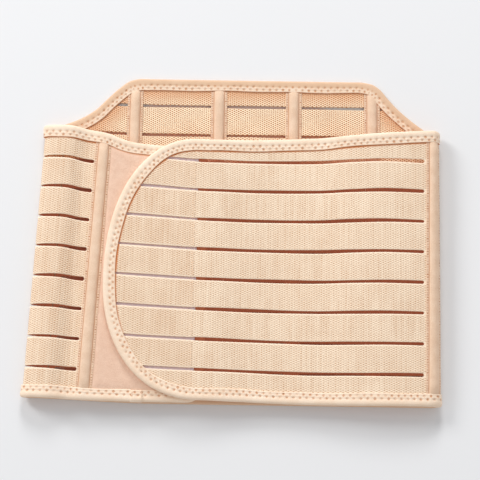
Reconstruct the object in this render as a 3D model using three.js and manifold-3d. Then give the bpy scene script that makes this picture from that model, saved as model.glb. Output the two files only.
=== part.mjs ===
// An elastic abdominal binder, fastened round at the front and lying on its back.
// Each piece is drawn on the belt's flat pattern, where u runs along the belt from the hidden end
// of its wing to the tip of its flap, and v runs up the belt from its bottom edge. The wrap then
// carries the pattern round the two side folds. Offsets w are measured out from the cloth's middle.
import * as THREE from "three";
import { mergeVertices } from "three/addons/utils/BufferGeometryUtils.js";
import Module from "manifold-3d";

const wasm = await Module();
wasm.setup();

// Driving sizes, in millimetres
const LYING_WIDTH = 356; // from fold to fold, along the bottom edge
const LOFT = 20; // height of the front's highest wave above the table
const SKEW = 5; // how far the crossed ends of the front are drawn out of line
const SLIT_PITCH = 26.35; // from one slit to the next, and from the bottom edge to the first
const SLIT_WIDTH = 2.2;
const SLIT_END = 1.5; // from a slit's end to the tape beside it
const SIDE_HEIGHT = 239; // finished height of the belt at its side folds
const BACK_RISE = 49; // how much taller the back panel is
const FRONT_DIP = 8; // how much lower the front's top edge is
const CLOTH = 1.4; // thickness of elastic and of the loop panel's backing
const PILE = 1.1; // height of the loop panel's fleece above its backing
const HOOK_TAPE = 1.0; // thickness of the hook panel
const HOOK_REACH = 79; // from the flap's tip to the hook panel's straight edge
const FLAP_CURVE = 83; // length of the flap's rounded end
const FLAP_TIP_HEIGHT = 99; // height of the flap's tip above the bottom edge
const FLAP_FULLNESS = 2.15; // exponent of the flap's rounded end, 2 for an ellipse
const WING_CORNER = 15; // radius of the hidden end's corners
const SEAM_FROM_FOLD = 23.5; // from the left fold to the seam behind it
const SEAM_HOLD = 5; // whole cloth on each side of that seam
const BACK_CHANNELS = [-89.5, -14, 51.5, 121]; // places across of the back's stay channels
const CHANNEL_WIDTH = 14;
const CHANNEL_FLANGE = 2.4; // the stitched edge on each side of a channel
const CHANNEL_TAPE = 0.9; // thickness of that edge
const CHANNEL_RISE = 3; // height of a channel over its stay
const BINDING_WIDTH = 10.5;
const BINDING_TAPE = 0.8; // thickness of the binding on each side
const CLEARANCE = 0.3; // between pieces that are sewn together

// Sizes worked out from those
const HALF_CLOTH = CLOTH / 2;
const FACE = HALF_CLOTH + CLEARANCE; // where a piece sewn to the cloth's face starts
const BOUND_FACE = FACE + BINDING_TAPE; // outside of the binding, from the cloth's middle
const CUT_EDGE = BINDING_TAPE + CLEARANCE; // the cloth ends this far inside the finished edge
const INSIDE_BINDING = BINDING_WIDTH + CLEARANCE; // a piece that stops at the binding ends here
const slitsBelow = (edge) => Math.floor((edge - BINDING_WIDTH) / SLIT_PITCH);
const FRONT_SLITS = slitsBelow(SIDE_HEIGHT);
const BACK_SLITS = slitsBelow(SIDE_HEIGHT + BACK_RISE);
const TOP_SLIT = SLIT_PITCH * FRONT_SLITS; // height of the front's highest slit
const WING_FACE = Math.max(HALF_CLOTH + PILE, BOUND_FACE);
const FLAP_FACE = Math.max(FACE + HOOK_TAPE, BOUND_FACE);
const LAYER_STEP = WING_FACE + FLAP_FACE + 2 * CLEARANCE; // from the wing's middle to the flap's

// The belt's section where it lies, row by row from the wing's end round to the flap's tip. Each
// pair of columns holds the value at the bottom edge and the value at the top slit. across is a
// share of half the lying width, loft of the loft and climb of the skew. layers counts the layers
// of the front beneath, and steps the facets up to the next row.
const SECTIONS = [
  { leg: "wing", across: [-0.13, -0.13], loft: [0.54, 0.54], climb: [0.1, -1.6], layers: 0, steps: 1 },
  { leg: "wing", across: [-0.35, -0.34], loft: [0.56, 0.55], climb: [0.1, -1.45], layers: 0, steps: 1 },
  { leg: "wing", across: [-0.576, -0.543], loft: [0.58, 0.55], climb: [0.16, -0.94], layers: 0, steps: 2 },
  { leg: "wing", across: [-0.708, -0.647], loft: [0.62, 0.58], climb: [0.26, -0.46], layers: 0, steps: 1 },
  { leg: "wing", across: [-0.779, -0.723], loft: [0.55, 0.52], climb: [0.38, -0.06], layers: 0, steps: 2 },
  { leg: "wing", across: [-0.88, -0.818], loft: [0.725, 0.68], climb: [0.54, 0.52], layers: 0, steps: 2 },
  { leg: "wing", across: [-0.965, -0.908], loft: [0.615, 0.6], climb: [0.64, 0.64], layers: 0, steps: 3 },
  { leg: "fold", across: [-1, -0.943], loft: [0.34, 0.34], climb: [0.68, 0.66], layers: 0, steps: 3 },
  { leg: "back", across: [-0.965, -0.908], loft: [0, 0], climb: [0.68, 0.66], layers: 0, steps: 1 },
  { leg: "back", across: [-0.88, -0.841], loft: [0, 0], climb: [0.6, 0.56], layers: 0, steps: 2 },
  { leg: "back", across: [-0.374, -0.374], loft: [0, 0], climb: [0, 0], layers: 0, steps: 1 },
  { leg: "back", across: [0.368, 0.368], loft: [0, 0], climb: [0, 0], layers: 0, steps: 1 },
  { leg: "back", across: [0.903, 0.903], loft: [0, 0], climb: [0, 0.06], layers: 0, steps: 1 },
  { leg: "back", across: [0.959, 0.962], loft: [0, 0], climb: [0, 0.16], layers: 0, steps: 3 },
  { leg: "fold", across: [1, 1], loft: [0.38, 0.43], climb: [0.04, 0.24], layers: 0, steps: 3 },
  { leg: "front", across: [0.965, 0.973], loft: [0.67, 0.77], climb: [0, 0.36], layers: 0, steps: 2 },
  { leg: "front", across: [0.886, 0.891], loft: [0.76, 0.93], climb: [0, 0.42], layers: 0, steps: 2 },
  { leg: "front", across: [0.751, 0.74], loft: [0.79, 1], climb: [-0.02, 0.5], layers: 0, steps: 2 },
  { leg: "front", across: [0.582, 0.582], loft: [0.73, 0.91], climb: [-0.04, 0.34], layers: 0, steps: 2 },
  { leg: "front", across: [0.402, 0.402], loft: [0.61, 0.67], climb: [-0.02, 0.1], layers: 0, steps: 2 },
  { leg: "front", across: [0.222, 0.222], loft: [0.57, 0.56], climb: [0.12, 0.08], layers: 0, steps: 1 },
  { leg: "front", across: [0.06, 0.06], loft: [0.62, 0.62], climb: [0.3, 0.02], layers: 0, steps: 2 },
  { leg: "front", across: [-0.11, -0.11], loft: [0.54, 0.54], climb: [0.44, 0.04], layers: 1, steps: 1 },
  { leg: "front", across: [-0.408, -0.396], loft: [0.565, 0.55], climb: [0.72, 0.68], layers: 1, steps: 1 },
  { leg: "front", across: [-0.627, -0.627], loft: [0.59, 0.555], climb: [1.1, 1.2], layers: 1, steps: 0 },
];
const LEFT_CHANNEL_ROW = 3;
const RIGHT_SEAM_ROW = 15;

// The finished top edge, by leg and share across: rise is a share of the back's rise above the
// sides, and dip of the front's dip below them.
const TOP_EDGE = [
  { leg: "wing", across: -0.13, rise: 0, dip: 0.88 },
  { leg: "wing", across: -0.36, rise: 0, dip: 0.76 },
  { leg: "wing", across: -0.503, rise: 0, dip: 0.68 },
  { leg: "wing", across: -0.576, rise: 0, dip: 0.44 },
  { leg: "wing", across: -0.644, rise: 0, dip: 0.12 },
  { leg: "wing", across: -0.72, rise: 0, dip: 0 },
  { leg: "back", across: -0.93, rise: 0, dip: 0 },
  { leg: "back", across: -0.869, rise: 0.07, dip: 0 },
  { leg: "back", across: -0.784, rise: 0.2, dip: 0 },
  { leg: "back", across: -0.711, rise: 0.37, dip: 0 },
  { leg: "back", across: -0.644, rise: 0.61, dip: 0 },
  { leg: "back", across: -0.576, rise: 0.84, dip: 0 },
  { leg: "back", across: -0.526, rise: 0.96, dip: 0 },
  { leg: "back", across: -0.464, rise: 1, dip: 0 },
  { leg: "back", across: 0.61, rise: 1, dip: 0 },
  { leg: "back", across: 0.675, rise: 0.965, dip: 0 },
  { leg: "back", across: 0.715, rise: 0.88, dip: 0 },
  { leg: "back", across: 0.757, rise: 0.7, dip: 0 },
  { leg: "back", across: 0.801, rise: 0.52, dip: 0 },
  { leg: "back", across: 0.858, rise: 0.33, dip: 0 },
  { leg: "back", across: 0.92, rise: 0.15, dip: 0 },
  { leg: "back", across: 0.955, rise: 0.05, dip: 0 },
  { leg: "front", across: 0.96, rise: 0, dip: 0.02 },
  { leg: "front", across: 0.886, rise: 0, dip: 0.22 },
  { leg: "front", across: 0.706, rise: 0, dip: 0.58 },
  { leg: "front", across: 0.2, rise: 0, dip: 0.94 },
  { leg: "front", across: -0.17, rise: 0, dip: 1.1 },
  { leg: "front", across: -0.627, rise: 0, dip: 1.1 },
];

const CLOTHS = {
  elastic: { colour: 0xead2b4, roughness: 0.85 },
  fleece: { colour: 0xebc6ac, roughness: 1 },
  hooks: { colour: 0xdcd6da, roughness: 0.6 },
  tape: { colour: 0xe6c6a4, roughness: 0.9 },
  binding: { colour: 0xf0dabd, roughness: 0.9 },
};

// A curve through the values at the knots that never swings past them
function smoothThrough(knots, values) {
  const slopes = values.slice(1).map((v, i) => (v - values[i]) / (knots[i + 1] - knots[i]));
  const tangents = values.map((_, i) => {
    const before = slopes[Math.max(i - 1, 0)];
    const after = slopes[Math.min(i, slopes.length - 1)];
    return before * after <= 0 ? 0 : (2 * before * after) / (before + after);
  });
  return (at) => {
    const past = knots.findIndex((knot) => knot > at);
    const i = past < 0 ? knots.length - 2 : Math.max(past - 1, 0);
    const span = knots[i + 1] - knots[i];
    const t = THREE.MathUtils.clamp((at - knots[i]) / span, 0, 1);
    const kept = (1 + 2 * t) * (1 - t) ** 2;
    const bent = tangents[i] * t * (1 - t) ** 2 - tangents[i + 1] * t ** 2 * (1 - t);
    return values[i] * kept + values[i + 1] * (1 - kept) + bent * span;
  };
}

// Where a row of the sections puts the cloth's middle, at the bottom edge (0) or top slit (1)
function placed(row, end) {
  const across = (row.across[end] * LYING_WIDTH) / 2;
  const up = row.climb[end] * SKEW + end * TOP_SLIT;
  const height = Math.max(BOUND_FACE, row.loft[end] * LOFT) + row.layers * LAYER_STEP;
  return new THREE.Vector3(across, up, height);
}

const ends = [0, 1].map((end) => SECTIONS.map((row) => placed(row, end)));
const middles = ends[0].map((bottom, i) => bottom.clone().lerp(ends[1][i], 0.5));
const rowAt = middles.reduce((found, middle, i) => {
  const before = i ? found[i - 1] + middle.distanceTo(middles[i - 1]) : 0;
  return [...found, before];
}, []);
const TIP = rowAt.at(-1);
const curves = ends.map((points) =>
  ["x", "y", "z"].map((axis) => smoothThrough(rowAt, points.map((point) => point[axis]))),
);

function onCurve(end, u) {
  return new THREE.Vector3(...curves[end].map((curve) => curve(u)));
}

// The place along the belt where a leg of it passes over a share of the half width
function alongAt(leg, across) {
  const rows = SECTIONS.map((row, i) => ({ i, leg: row.leg, x: middles[i].x }));
  const x = (across * LYING_WIDTH) / 2;
  const near = rows.filter((row) => row.leg === leg || row.leg === "fold");
  for (let n = 1; n < near.length; n += 1) {
    const [a, b] = [near[n - 1], near[n]];
    if (b.i === a.i + 1 && (a.x - x) * (b.x - x) <= 0 && (a.leg === leg || b.leg === leg)) {
      return bisected((u) => onCurve(0, u).lerp(onCurve(1, u), 0.5).x - x, rowAt[a.i], rowAt[b.i]);
    }
  }
  return leg === "wing" ? 0 : TIP;
}

const HALVINGS = 40; // enough to place a crossing to a millionth of a millimetre

function bisected(f, low, high) {
  const rising = f(high) > f(low);
  let [a, b] = [low, high];
  for (let n = 0; n < HALVINGS; n += 1) {
    const middle = (a + b) / 2;
    if (f(middle) > 0 === rising) b = middle;
    else a = middle;
  }
  return (a + b) / 2;
}

// Named places along the belt
const LEFT_CHANNEL = rowAt[LEFT_CHANNEL_ROW];
const RIGHT_SEAM = rowAt[RIGHT_SEAM_ROW];
const SEAM_BEHIND = alongAt("back", SEAM_FROM_FOLD / (LYING_WIDTH / 2) - 1);
const FLAP_START = TIP - FLAP_CURVE;
const FLAP_ANGLES = [10, 20, 30, 40, 50, 60, 70, 80];
const CORNER_ANGLES = [20, 45, 70, 90];

const radians = THREE.MathUtils.degToRad;
const flapColumns = FLAP_ANGLES.map(
  (angle) => FLAP_START + FLAP_CURVE * Math.sin(radians(angle)) ** (2 / FLAP_FULLNESS),
);
const FLAP_END = flapColumns.at(-1);
const cornerColumns = CORNER_ANGLES.map((angle) => WING_CORNER * (1 - Math.cos(radians(angle))));
const edgeAt = TOP_EDGE.map((row) => alongAt(row.leg, row.across));

// Every piece is faceted at the same places along the belt, so that layers stay evenly apart
const LEAST_FACET = LOFT / 8;
const SAME_PLACE = CLEARANCE / 6; // places along the belt that are closer than this count as one
const facetEnds = SECTIONS.flatMap((row, i) =>
  Array.from({ length: row.steps }, (_, n) => rowAt[i] + ((rowAt[i + 1] - rowAt[i]) * n) / row.steps),
);
const shoulders = edgeAt.filter((_, i) => TOP_EDGE[i].leg === "back");
const FACETS = [...facetEnds, ...shoulders, ...cornerColumns, ...flapColumns]
  .sort((a, b) => a - b)
  .filter((u, i, all) => u <= FLAP_END && (i === 0 || u - all[i - 1] > LEAST_FACET || u === FLAP_END))
  .filter((u, i, all) => u === FLAP_END || FLAP_END - u > LEAST_FACET);

const frames = FACETS.map((u) => {
  const along = onCurve(0, u + SAME_PLACE).add(onCurve(1, u + SAME_PLACE));
  along.sub(onCurve(0, u - SAME_PLACE)).sub(onCurve(1, u - SAME_PLACE));
  const [bottom, top] = [onCurve(0, u), onCurve(1, u)];
  const outward = top.clone().sub(bottom).cross(along).normalize();
  return { bottom, top, outward };
});

// The facet a place along the belt is in, and how far through it
function facetAt(u) {
  const past = FACETS.findIndex((facet) => facet > u);
  const i = past < 0 ? FACETS.length - 2 : Math.max(past - 1, 0);
  return [i, (u - FACETS[i]) / (FACETS[i + 1] - FACETS[i])];
}

// The wrap: from a place on the pattern and an offset from the cloth's middle to a point
function wrapped(u, v, w) {
  const [i, t] = facetAt(u);
  const bottom = frames[i].bottom.clone().lerp(frames[i + 1].bottom, t);
  const top = frames[i].top.clone().lerp(frames[i + 1].top, t);
  const outward = frames[i].outward.clone().lerp(frames[i + 1].outward, t);
  return bottom.lerp(top, v / TOP_SLIT).addScaledVector(outward, w);
}

// The finished edges of the whole belt
const topEdge = smoothThrough(
  edgeAt,
  TOP_EDGE.map((row) => SIDE_HEIGHT + row.rise * BACK_RISE - row.dip * FRONT_DIP),
);

function flapShare(u) {
  const along = THREE.MathUtils.clamp((u - FLAP_START) / FLAP_CURVE, 0, 1);
  return (1 - along ** FLAP_FULLNESS) ** (1 / FLAP_FULLNESS);
}

function cornerDrop(u) {
  const from = Math.max(WING_CORNER - u, 0);
  return WING_CORNER - Math.sqrt(WING_CORNER ** 2 - from ** 2);
}

// The edges are straight from one facet to the next
function straightened(edge) {
  const heights = FACETS.map(edge);
  return (u) => {
    const [i, t] = facetAt(u);
    return THREE.MathUtils.lerp(heights[i], heights[i + 1], t);
  };
}

const edgeLow = straightened((u) => cornerDrop(u) + FLAP_TIP_HEIGHT * (1 - flapShare(u)));
const edgeHigh = straightened((u) => {
  const reach = (topEdge(u) - FLAP_TIP_HEIGHT) * flapShare(u);
  return FLAP_TIP_HEIGHT + reach - cornerDrop(u);
});

// An edge moved in by a distance measured square to it: facet by facet along the belt, and as a
// disc rolled along the edge would leave it at the belt's rounded ends
const ROLL_STEP = 7.5;
const ROLL_ANGLES = Array.from({ length: 180 / ROLL_STEP + 1 }, (_, n) => radians(n * ROLL_STEP - 90));
const atRoundedEnd = (u) => u < WING_CORNER || u > FLAP_START;

function insetEdge(edge, pick, side) {
  const heights = FACETS.map(edge);
  const leans = heights.slice(1).map((height, i) => {
    const run = FACETS[i + 1] - FACETS[i];
    return run / Math.hypot(run, height - heights[i]);
  });
  const drops = heights.map((_, i) => 2 / ((leans[i - 1] ?? leans[i]) + (leans[i] ?? leans[i - 1])));
  return (distance) => (u) => {
    const [i, t] = facetAt(u);
    if (!atRoundedEnd(u)) {
      return edge(u) + side * distance * THREE.MathUtils.lerp(drops[i], drops[i + 1], t);
    }
    const rolled = ROLL_ANGLES.map((angle) => {
      const beside = THREE.MathUtils.clamp(u + distance * Math.sin(angle), 0, FLAP_END);
      return edge(beside) + side * distance * Math.cos(angle);
    });
    return pick(...rolled);
  };
}

const lowInset = insetEdge(edgeLow, Math.max, 1);
const highInset = insetEdge(edgeHigh, Math.min, -1);

function columnsBetween(from, to, extra = []) {
  const inside = [...FACETS, ...extra].filter((u) => u > from + SAME_PLACE && u < to - SAME_PLACE);
  return [from, ...inside.sort((a, b) => a - b), to];
}

// Joins rings of points into one closed surface. Rings that don't close on themselves get caps.
function lofted(rings, closed) {
  const size = rings[0].length;
  const index = [];
  const last = closed ? rings.length : rings.length - 1;
  for (let i = 0; i < last; i += 1) {
    const [here, next] = [i * size, ((i + 1) % rings.length) * size];
    for (let j = 0; j < size; j += 1) {
      const k = (j + 1) % size;
      index.push(here + j, next + k, here + k, here + j, next + j, next + k);
    }
  }
  const far = (rings.length - 1) * size;
  for (let j = 1; j < size - 1 && !closed; j += 1) {
    index.push(0, j, j + 1);
    index.push(far, far + j + 1, far + j);
  }
  const geometry = new THREE.BufferGeometry().setFromPoints(rings.flat());
  return geometry.setIndex(index);
}

// A sheet of the pattern between two edges, wrapped, with an inner and an outer face
function sheet({ columns, low, high, inner, outer }) {
  return lofted(
    columns.map((u) => [
      wrapped(u, low(u), inner(u)),
      wrapped(u, high(u), inner(u)),
      wrapped(u, high(u), outer(u)),
      wrapped(u, low(u), outer(u)),
    ]),
    false,
  );
}

const MERGED = 1e-4; // corners closer than this are one

function solidOf(geometry) {
  const bare = mergeVertices(geometry, MERGED);
  return new wasm.Manifold(
    new wasm.Mesh({
      numProp: 3,
      vertProperties: bare.attributes.position.array,
      triVerts: new Uint32Array(bare.index.array),
    }),
  );
}

function geometryOf(solid) {
  const made = solid.getMesh();
  const geometry = new THREE.BufferGeometry();
  geometry.setAttribute("position", new THREE.BufferAttribute(made.vertProperties, 3));
  geometry.setIndex(new THREE.BufferAttribute(made.triVerts, 1));
  geometry.computeVertexNormals();
  return geometry;
}

const always = (value) => () => value;

// The stretch of belt near a place where an edge, moved in, lies above a height
function stretchAbove(height, inset, from, to) {
  const clear = FACETS.filter((u) => u > from && u < to && highInset(inset)(u) > height);
  const gap = (u) => highInset(inset)(u) - height;
  const [first, last] = [clear[0], clear.at(-1)];
  const before = FACETS[FACETS.indexOf(first) - 1];
  const after = FACETS[FACETS.indexOf(last) + 1];
  return [
    before > from ? bisected(gap, before, first) : from,
    after < to ? bisected(gap, last, after) : to,
  ];
}

// Elastic, cut out of one width of cloth and slit at each pitch
function elasticPanel(from, to, slits) {
  const panel = sheet({
    columns: columnsBetween(from, to),
    low: lowInset(CUT_EDGE),
    high: highInset(CUT_EDGE),
    inner: always(-HALF_CLOTH),
    outer: always(HALF_CLOTH),
  });
  return geometryOf(
    slits.reduce((kept, { height, start, end }) => {
      const slit = sheet({
        columns: columnsBetween(start, end),
        low: always(height - SLIT_WIDTH / 2),
        high: always(height + SLIT_WIDTH / 2),
        inner: always(-CLOTH),
        outer: always(CLOTH),
      });
      return kept.subtract(solidOf(slit));
    }, solidOf(panel)),
  );
}

const slitHeights = (count) => Array.from({ length: count }, (_, n) => (n + 1) * SLIT_PITCH);
const UNDER_BINDING = CUT_EDGE + (BINDING_WIDTH - CUT_EDGE) / 3; // slits end here, out of sight
const HALF_CHANNEL = CHANNEL_WIDTH / 2;

function leftPanel() {
  const start = LEFT_CHANNEL + HALF_CHANNEL + CLEARANCE;
  const end = SEAM_BEHIND - SEAM_HOLD;
  const slits = slitHeights(FRONT_SLITS).map((height) => ({ height, start, end }));
  return elasticPanel(LEFT_CHANNEL + CLEARANCE / 2, SEAM_BEHIND - CLEARANCE / 2, slits);
}

function backPanel() {
  const start = SEAM_BEHIND + SEAM_HOLD;
  const end = RIGHT_SEAM - HALF_CHANNEL - CLEARANCE;
  const slits = slitHeights(BACK_SLITS).map((height) => {
    const [first, last] = stretchAbove(height + SLIT_WIDTH / 2, UNDER_BINDING, start, end);
    return { height, start: first, end: last };
  });
  return elasticPanel(SEAM_BEHIND + CLEARANCE / 2, RIGHT_SEAM - CLEARANCE / 2, slits);
}

function rightPanel() {
  const start = RIGHT_SEAM + HALF_CHANNEL + SLIT_END;
  const slits = slitHeights(FRONT_SLITS).map((height) => {
    const atTop = (u) => highInset(UNDER_BINDING)(u) - height - SLIT_WIDTH / 2;
    const atBottom = (u) => height - SLIT_WIDTH / 2 - lowInset(UNDER_BINDING)(u);
    const gap = height > FLAP_TIP_HEIGHT ? atTop : atBottom;
    const tip = FLAP_END - UNDER_BINDING;
    const end = gap(tip) > 0 ? tip : bisected(gap, FLAP_START, tip);
    return { height, start, end };
  });
  return elasticPanel(RIGHT_SEAM + CLEARANCE / 2, FLAP_END - CUT_EDGE, slits);
}

// The fleece panel that the hooks hold: a bound backing with raised pile inside the binding
function loopPanel() {
  const backing = sheet({
    columns: columnsBetween(CUT_EDGE, LEFT_CHANNEL - CLEARANCE / 2),
    low: lowInset(CUT_EDGE),
    high: highInset(CUT_EDGE),
    inner: always(-HALF_CLOTH),
    outer: always(HALF_CLOTH),
  });
  const pile = sheet({
    columns: columnsBetween(INSIDE_BINDING, LEFT_CHANNEL - HALF_CHANNEL - CLEARANCE),
    low: lowInset(INSIDE_BINDING),
    high: highInset(INSIDE_BINDING),
    inner: always(0),
    outer: always(HALF_CLOTH + PILE),
  });
  return geometryOf(solidOf(backing).add(solidOf(pile)));
}

// The hook tape inside the flap's rounded end
function hookPanel() {
  return sheet({
    columns: columnsBetween(FLAP_END - HOOK_REACH, FLAP_END - INSIDE_BINDING),
    low: lowInset(INSIDE_BINDING),
    high: highInset(INSIDE_BINDING),
    inner: always(-FACE - HOOK_TAPE),
    outer: always(-FACE),
  });
}

// A tape sewn down at both edges over a stay, on the belt's outer (1) or inner (-1) face
const DOME_ANGLES = [0, 30, 60, 90, 120, 150, 180];

function stayChannel(centre, side) {
  const domeHalf = HALF_CHANNEL - CHANNEL_FLANGE;
  const across = DOME_ANGLES.map((angle) => -domeHalf * Math.cos(radians(angle)));
  const domeHeight = (u) => {
    const share = Math.min(Math.abs(u - centre) / domeHalf, 1);
    return CHANNEL_TAPE + (CHANNEL_RISE - CHANNEL_TAPE) * Math.sqrt(1 - share ** 2);
  };
  const [near, far] = [always(side * FACE), (u) => side * (FACE + domeHeight(u))];
  return sheet({
    columns: columnsBetween(
      centre - HALF_CHANNEL,
      centre + HALF_CHANNEL,
      across.map((offset) => centre + offset),
    ),
    low: lowInset(INSIDE_BINDING),
    high: highInset(INSIDE_BINDING),
    inner: side > 0 ? near : far,
    outer: side > 0 ? far : near,
  });
}

// The binding: one tape folded over the belt's whole outline
function edgeBinding() {
  const outline = [
    ...FACETS.map((u) => new THREE.Vector2(u, edgeLow(u))),
    ...FACETS.toReversed().map((u) => new THREE.Vector2(u, edgeHigh(u))),
  ];
  const SLOT = CUT_EDGE - CLEARANCE; // the slot's floor, from the finished edge
  const section = [
    [BINDING_WIDTH, BOUND_FACE],
    [BINDING_TAPE, BOUND_FACE],
    [0, FACE],
    [0, -FACE],
    [BINDING_TAPE, -BOUND_FACE],
    [BINDING_WIDTH, -BOUND_FACE],
    [BINDING_WIDTH, -FACE],
    [SLOT, -FACE],
    [SLOT, FACE],
    [BINDING_WIDTH, FACE],
  ];
  const rings = outline.map((corner, i) => {
    if (!atRoundedEnd(corner.x)) {
      const inset = i < FACETS.length ? lowInset : highInset;
      return section.map(([inside, offset]) => wrapped(corner.x, inset(inside)(corner.x), offset));
    }
    const before = outline.at(i - 1);
    const after = outline[(i + 1) % outline.length];
    const normals = [corner.clone().sub(before), after.clone().sub(corner)].map((side) =>
      new THREE.Vector2(-side.y, side.x).normalize(),
    );
    const inward = normals[0].clone().add(normals[1]).normalize();
    return section.map(([inside, offset]) => {
      const place = corner.clone().addScaledVector(inward, inside / inward.dot(normals[0]));
      return wrapped(place.x, place.y, offset);
    });
  });
  return lofted(rings, true);
}

function piece(name, geometry, { colour, roughness }) {
  const material = new THREE.MeshStandardMaterial({ color: colour, roughness, metalness: 0 });
  const mesh = new THREE.Mesh(geometry, material);
  mesh.name = name;
  return mesh;
}

const belt = new THREE.Group();
belt.add(piece("back_panel", backPanel(), CLOTHS.elastic));
belt.add(piece("left_panel", leftPanel(), CLOTHS.elastic));
belt.add(piece("right_panel", rightPanel(), CLOTHS.elastic));
belt.add(piece("loop_panel", loopPanel(), CLOTHS.fleece));
belt.add(piece("hook_panel", hookPanel(), CLOTHS.hooks));
belt.add(piece("edge_binding", edgeBinding(), CLOTHS.binding));
belt.add(piece("left_channel", stayChannel(LEFT_CHANNEL, 1), CLOTHS.tape));
belt.add(piece("right_channel", stayChannel(RIGHT_SEAM, 1), CLOTHS.tape));
BACK_CHANNELS.forEach((place, i) => {
  const centre = alongAt("back", place / (LYING_WIDTH / 2));
  belt.add(piece(`back_channel_${i + 1}`, stayChannel(centre, -1), CLOTHS.tape));
});

// The belt lies with the middle of its underside at the origin
const bounds = new THREE.Box3().setFromObject(belt);
const centre = bounds.getCenter(new THREE.Vector3());
belt.position.set(-centre.x, -centre.y, -bounds.min.z);

export default belt;
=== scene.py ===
# %% [markdown]
# An elastic abdominal binder, fastened and lying on its back
#
# The real thing is one long belt of slit elastic. Its wing ends in a pad of fleece, its flap ends
# in a patch of hook tape, and closing it presses the hooks into the fleece. Here it lies closed
# and empty, back panel down. This lesson dresses the plain solids of the belt as cloth: first the
# flat pattern is wrapped round, then each piece is cut on the pattern, and last come the threads,
# the finishes and the studio.

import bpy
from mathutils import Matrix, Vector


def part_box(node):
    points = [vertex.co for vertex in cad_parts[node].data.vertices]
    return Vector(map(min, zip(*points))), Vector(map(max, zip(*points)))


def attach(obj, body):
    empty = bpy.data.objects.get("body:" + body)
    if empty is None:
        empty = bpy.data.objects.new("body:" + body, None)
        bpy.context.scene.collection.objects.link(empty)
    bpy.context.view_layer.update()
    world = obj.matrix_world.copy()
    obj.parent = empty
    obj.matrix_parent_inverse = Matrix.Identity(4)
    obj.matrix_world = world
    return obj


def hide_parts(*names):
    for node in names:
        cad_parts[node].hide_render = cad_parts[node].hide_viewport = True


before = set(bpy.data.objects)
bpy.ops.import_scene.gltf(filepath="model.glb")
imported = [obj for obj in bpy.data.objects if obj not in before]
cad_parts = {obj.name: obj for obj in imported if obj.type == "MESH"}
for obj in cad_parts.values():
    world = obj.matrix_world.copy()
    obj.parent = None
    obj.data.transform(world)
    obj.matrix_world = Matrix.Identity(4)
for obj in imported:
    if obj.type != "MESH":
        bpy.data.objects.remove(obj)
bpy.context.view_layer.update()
print("nodes to dress:", ", ".join(sorted(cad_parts)))

# %% [markdown]
# The flat pattern
#
# A belt maker thinks in the flat: how far along the belt, u, and how far up it, v. The wrap needs
# only where the belt's section lies, row by row, so the same short tables as the solids' are
# kept here, as shares of the sizes in millimetres above them. A third number, w, is how far a
# point stands out from the cloth's middle. Everything below is drawn in u, v and w, so each
# seam stays on the cloth it is sewn to.

# %% Sizes of the belt, in millimetres
from collections import namedtuple

import bpy
import numpy as np
from mathutils import Matrix, Vector

MM = 0.001
LYING_WIDTH = 356
LOFT = 20
SKEW = 5
SLIT_PITCH = 26.35
SIDE_HEIGHT = 239
BACK_RISE = 49
FRONT_DIP = 8
CLOTH = 1.4
FLAP_CURVE = 83
FLAP_TIP_HEIGHT = 99
FLAP_FULLNESS = 2.15
HOOK_REACH = 79
WING_CORNER = 15
SEAM_FROM_FOLD = 23.5
BACK_CHANNELS = (-89.5, -14, 51.5, 121)
CHANNEL_WIDTH = 14
BINDING_WIDTH = 10.5
BOUND_FACE = 1.8
LAYER_STEP = 4.4
FRONT_SLITS = 8
BACK_SLITS = 10
TOP_SLIT = SLIT_PITCH * FRONT_SLITS
HALF_CLOTH = CLOTH / 2
HALF_WIDTH = LYING_WIDTH / 2

Section = namedtuple("Section", "leg across loft climb layers")
SECTIONS = [
    Section("wing", (-0.13, -0.13), (0.54, 0.54), (0.1, -1.6), 0),
    Section("wing", (-0.35, -0.34), (0.56, 0.55), (0.1, -1.45), 0),
    Section("wing", (-0.576, -0.543), (0.58, 0.55), (0.16, -0.94), 0),
    Section("wing", (-0.708, -0.647), (0.62, 0.58), (0.26, -0.46), 0),
    Section("wing", (-0.779, -0.723), (0.55, 0.52), (0.38, -0.06), 0),
    Section("wing", (-0.88, -0.818), (0.725, 0.68), (0.54, 0.52), 0),
    Section("wing", (-0.965, -0.908), (0.615, 0.6), (0.64, 0.64), 0),
    Section("fold", (-1, -0.943), (0.34, 0.34), (0.68, 0.66), 0),
    Section("back", (-0.965, -0.908), (0, 0), (0.68, 0.66), 0),
    Section("back", (-0.88, -0.841), (0, 0), (0.6, 0.56), 0),
    Section("back", (-0.374, -0.374), (0, 0), (0, 0), 0),
    Section("back", (0.368, 0.368), (0, 0), (0, 0), 0),
    Section("back", (0.903, 0.903), (0, 0), (0, 0.06), 0),
    Section("back", (0.959, 0.962), (0, 0), (0, 0.16), 0),
    Section("fold", (1, 1), (0.38, 0.43), (0.04, 0.24), 0),
    Section("front", (0.965, 0.973), (0.67, 0.77), (0, 0.36), 0),
    Section("front", (0.886, 0.891), (0.76, 0.93), (0, 0.42), 0),
    Section("front", (0.751, 0.74), (0.79, 1), (-0.02, 0.5), 0),
    Section("front", (0.582, 0.582), (0.73, 0.91), (-0.04, 0.34), 0),
    Section("front", (0.402, 0.402), (0.61, 0.67), (-0.02, 0.1), 0),
    Section("front", (0.222, 0.222), (0.57, 0.56), (0.12, 0.08), 0),
    Section("front", (0.06, 0.06), (0.62, 0.62), (0.3, 0.02), 0),
    Section("front", (-0.11, -0.11), (0.54, 0.54), (0.44, 0.04), 1),
    Section("front", (-0.408, -0.396), (0.565, 0.55), (0.72, 0.68), 1),
    Section("front", (-0.627, -0.627), (0.59, 0.555), (1.1, 1.2), 1),
]
LEFT_CHANNEL_ROW = 3
RIGHT_SEAM_ROW = 15

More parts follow.
